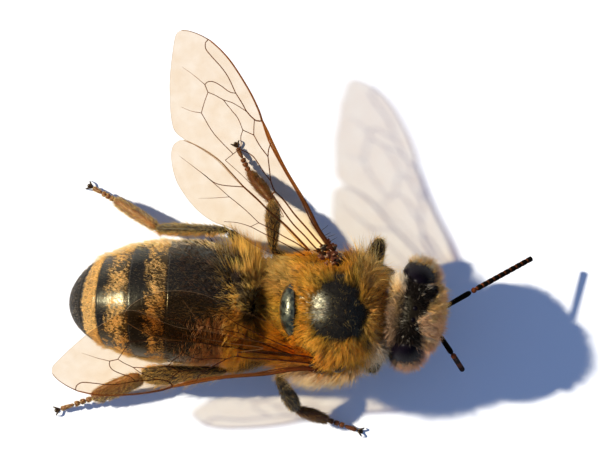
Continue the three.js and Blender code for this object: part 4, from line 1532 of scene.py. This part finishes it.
def shin_fringe(place, name, rng):
    """Long pale hairs along the inner edge of a hind shin."""
    hand = 1 if name.endswith("left") else -1

    def density(p, s, a):
        inner = -hand * np.cos(2 * np.pi * a)
        return smooth(0.3, 0.7, inner) * smooth(-0.3, 0.2, np.sin(2 * np.pi * a)) * smooth(0.05, 0.2, s)

    roots = scatter(place, 1300, density, rng)
    n = len(roots["root"])
    inward = np.array([0.0, -hand, -0.35])
    lie = inward + roots["along"] * 0.3
    colour = blend(GOLD, CREAM, rng.random(n) * 0.55)
    length = rng.uniform(0.28, 0.44, n)
    width = np.full(n, 0.01)
    return hairs(roots, lie, 0.3, length, width, tones_of(colour, rng, 0.9, 1.4), rng, 2, jitter=0.12)


# how many hairs each piece of a leg has, from the hip to the foot
LEG_HAIRS = (400, 1300, 1900, 1300, 120, 120, 120, 200)
HIND_LEG_HAIRS = 1.4  # how many times as many a hind leg has


def leg_coat(skins_by_leg):
    rng = np.random.default_rng(14)
    batches = []
    for name, skins in skins_by_leg.items():
        hind = name.startswith("hind")
        for number, place in enumerate(skins):
            count = int(LEG_HAIRS[number] * (HIND_LEG_HAIRS if hind else 1))
            roots = scatter(place, count, lambda p, s, a: np.ones(len(p)), rng)
            n = len(roots["root"])
            colour = blend(OLIVE, DARK_HAIR * 0.6, smooth(0.3, 0.6, rng.random(n)))
            if number >= 3:
                colour = blend(colour, STRAW if hind else ORANGE * 0.4, 0.7)
            length = rng.uniform(0.09, 0.24, n) * (0.45 if number > 3 else 1)
            around = 2 * np.pi * roots["a"]
            under = np.sin(around) < -0.1
            if hind and number == 2:
                edge = np.sin(around) < -0.8
                length = np.where(edge, length * 2.8, length)
                colour = np.where(edge[:, None], STRAW, colour * 0.8)
                # painted light: the right hind shin's hair is paler than the left's, where it lies in shade
                right = name.endswith("right")
                colour = blend(colour, STRAW * (1.15 if right else 1.0), 0.85 if right else 0.4)
            if number == 2 and not hind:
                share = 0.6 if name.endswith("left") else 0.15
                colour = np.where((rng.random(n) < share)[:, None], STRAW, colour)
            if number in (0, 1):
                pale = rng.random(n) < (0.6 if hind else 0.45)
                colour = np.where((under | pale)[:, None], STRAW, colour)
                length = np.where(under, length * 2, length * (1 + hind))
            width = np.full(n, 0.0095)
            tones = tones_of(colour, rng, 0.7, 1.4)
            batches.append(hairs(roots, roots["along"], 0.6, length, width, tones, rng, 1))
            if hind and number == 2:
                batches.append(shin_fringe(place, name, rng))
    coat("leg_coat", batches)


# ---------------------------------------------------------------- floor, light and camera


FLOOR_REACH = 2.0  # m
SKY_COLOUR = (0.39, 0.56, 1.0, 1)
SKY_STRENGTH = 0.4
SUN_COLOUR = (1.0, 0.9, 0.74)
SUN_STRENGTH = 6.9
SUN_WIDTH = math.radians(2.2)
SUN_WAY = Vector((0.96, -0.27, -0.81))  # the way its light goes
VIEW_CENTRE = np.array([-1.345, 2.569, 0])  # mm, in the bee's own frame
VIEW_WIDTH = 0.0211  # m
VIEW_HEIGHT = 0.5  # m


def make_stage():
    mesh = bpy.data.meshes.new("floor")
    corners = [(x * FLOOR_REACH, y * FLOOR_REACH, 0) for x, y in ((-1, -1), (1, -1), (1, 1), (-1, 1))]
    mesh.from_pydata(corners, [], [(0, 1, 2, 3)])
    mesh.materials.append(floor_material())
    floor = bpy.data.objects.new("floor", mesh)
    bpy.context.scene.collection.objects.link(floor)

    world = bpy.data.worlds.new("studio")
    world.use_nodes = True
    background = world.node_tree.nodes["Background"]
    background.inputs["Color"].default_value = SKY_COLOUR
    background.inputs["Strength"].default_value = SKY_STRENGTH
    bpy.context.scene.world = world

    sun = bpy.data.lights.new("key", "SUN")
    sun.energy, sun.angle, sun.color = SUN_STRENGTH, SUN_WIDTH, SUN_COLOUR
    lamp = bpy.data.objects.new("key", sun)
    lamp.rotation_mode = "QUATERNION"
    lamp.rotation_quaternion = SUN_WAY.to_track_quat("-Z", "Y")
    bpy.context.scene.collection.objects.link(lamp)
    bpy.context.scene.view_settings.view_transform = "Standard"


def make_camera():
    data = bpy.data.cameras.new("camera")
    data.sensor_width = 36
    data.lens = data.sensor_width * VIEW_HEIGHT / VIEW_WIDTH
    data.clip_start, data.clip_end = 0.01, 10
    camera = bpy.data.objects.new("camera", data)
    middle = (VIEW_CENTRE + PLACE) * MM
    camera.location = (middle[0], middle[1], VIEW_HEIGHT)
    bpy.context.scene.collection.objects.link(camera)
    bpy.context.scene.camera = camera


make_camera()
make_stage()
make_head()
make_antennae()
make_thorax()
make_abdomen()
make_wings()
leg_skins = {name: make_leg(name, joints) for name, joints in LEGS.items()}
head_coat()
eye_coat()
thorax_coat()
waist_coat()
felt_coat()
fringe_coat()
leg_coat(leg_skins)
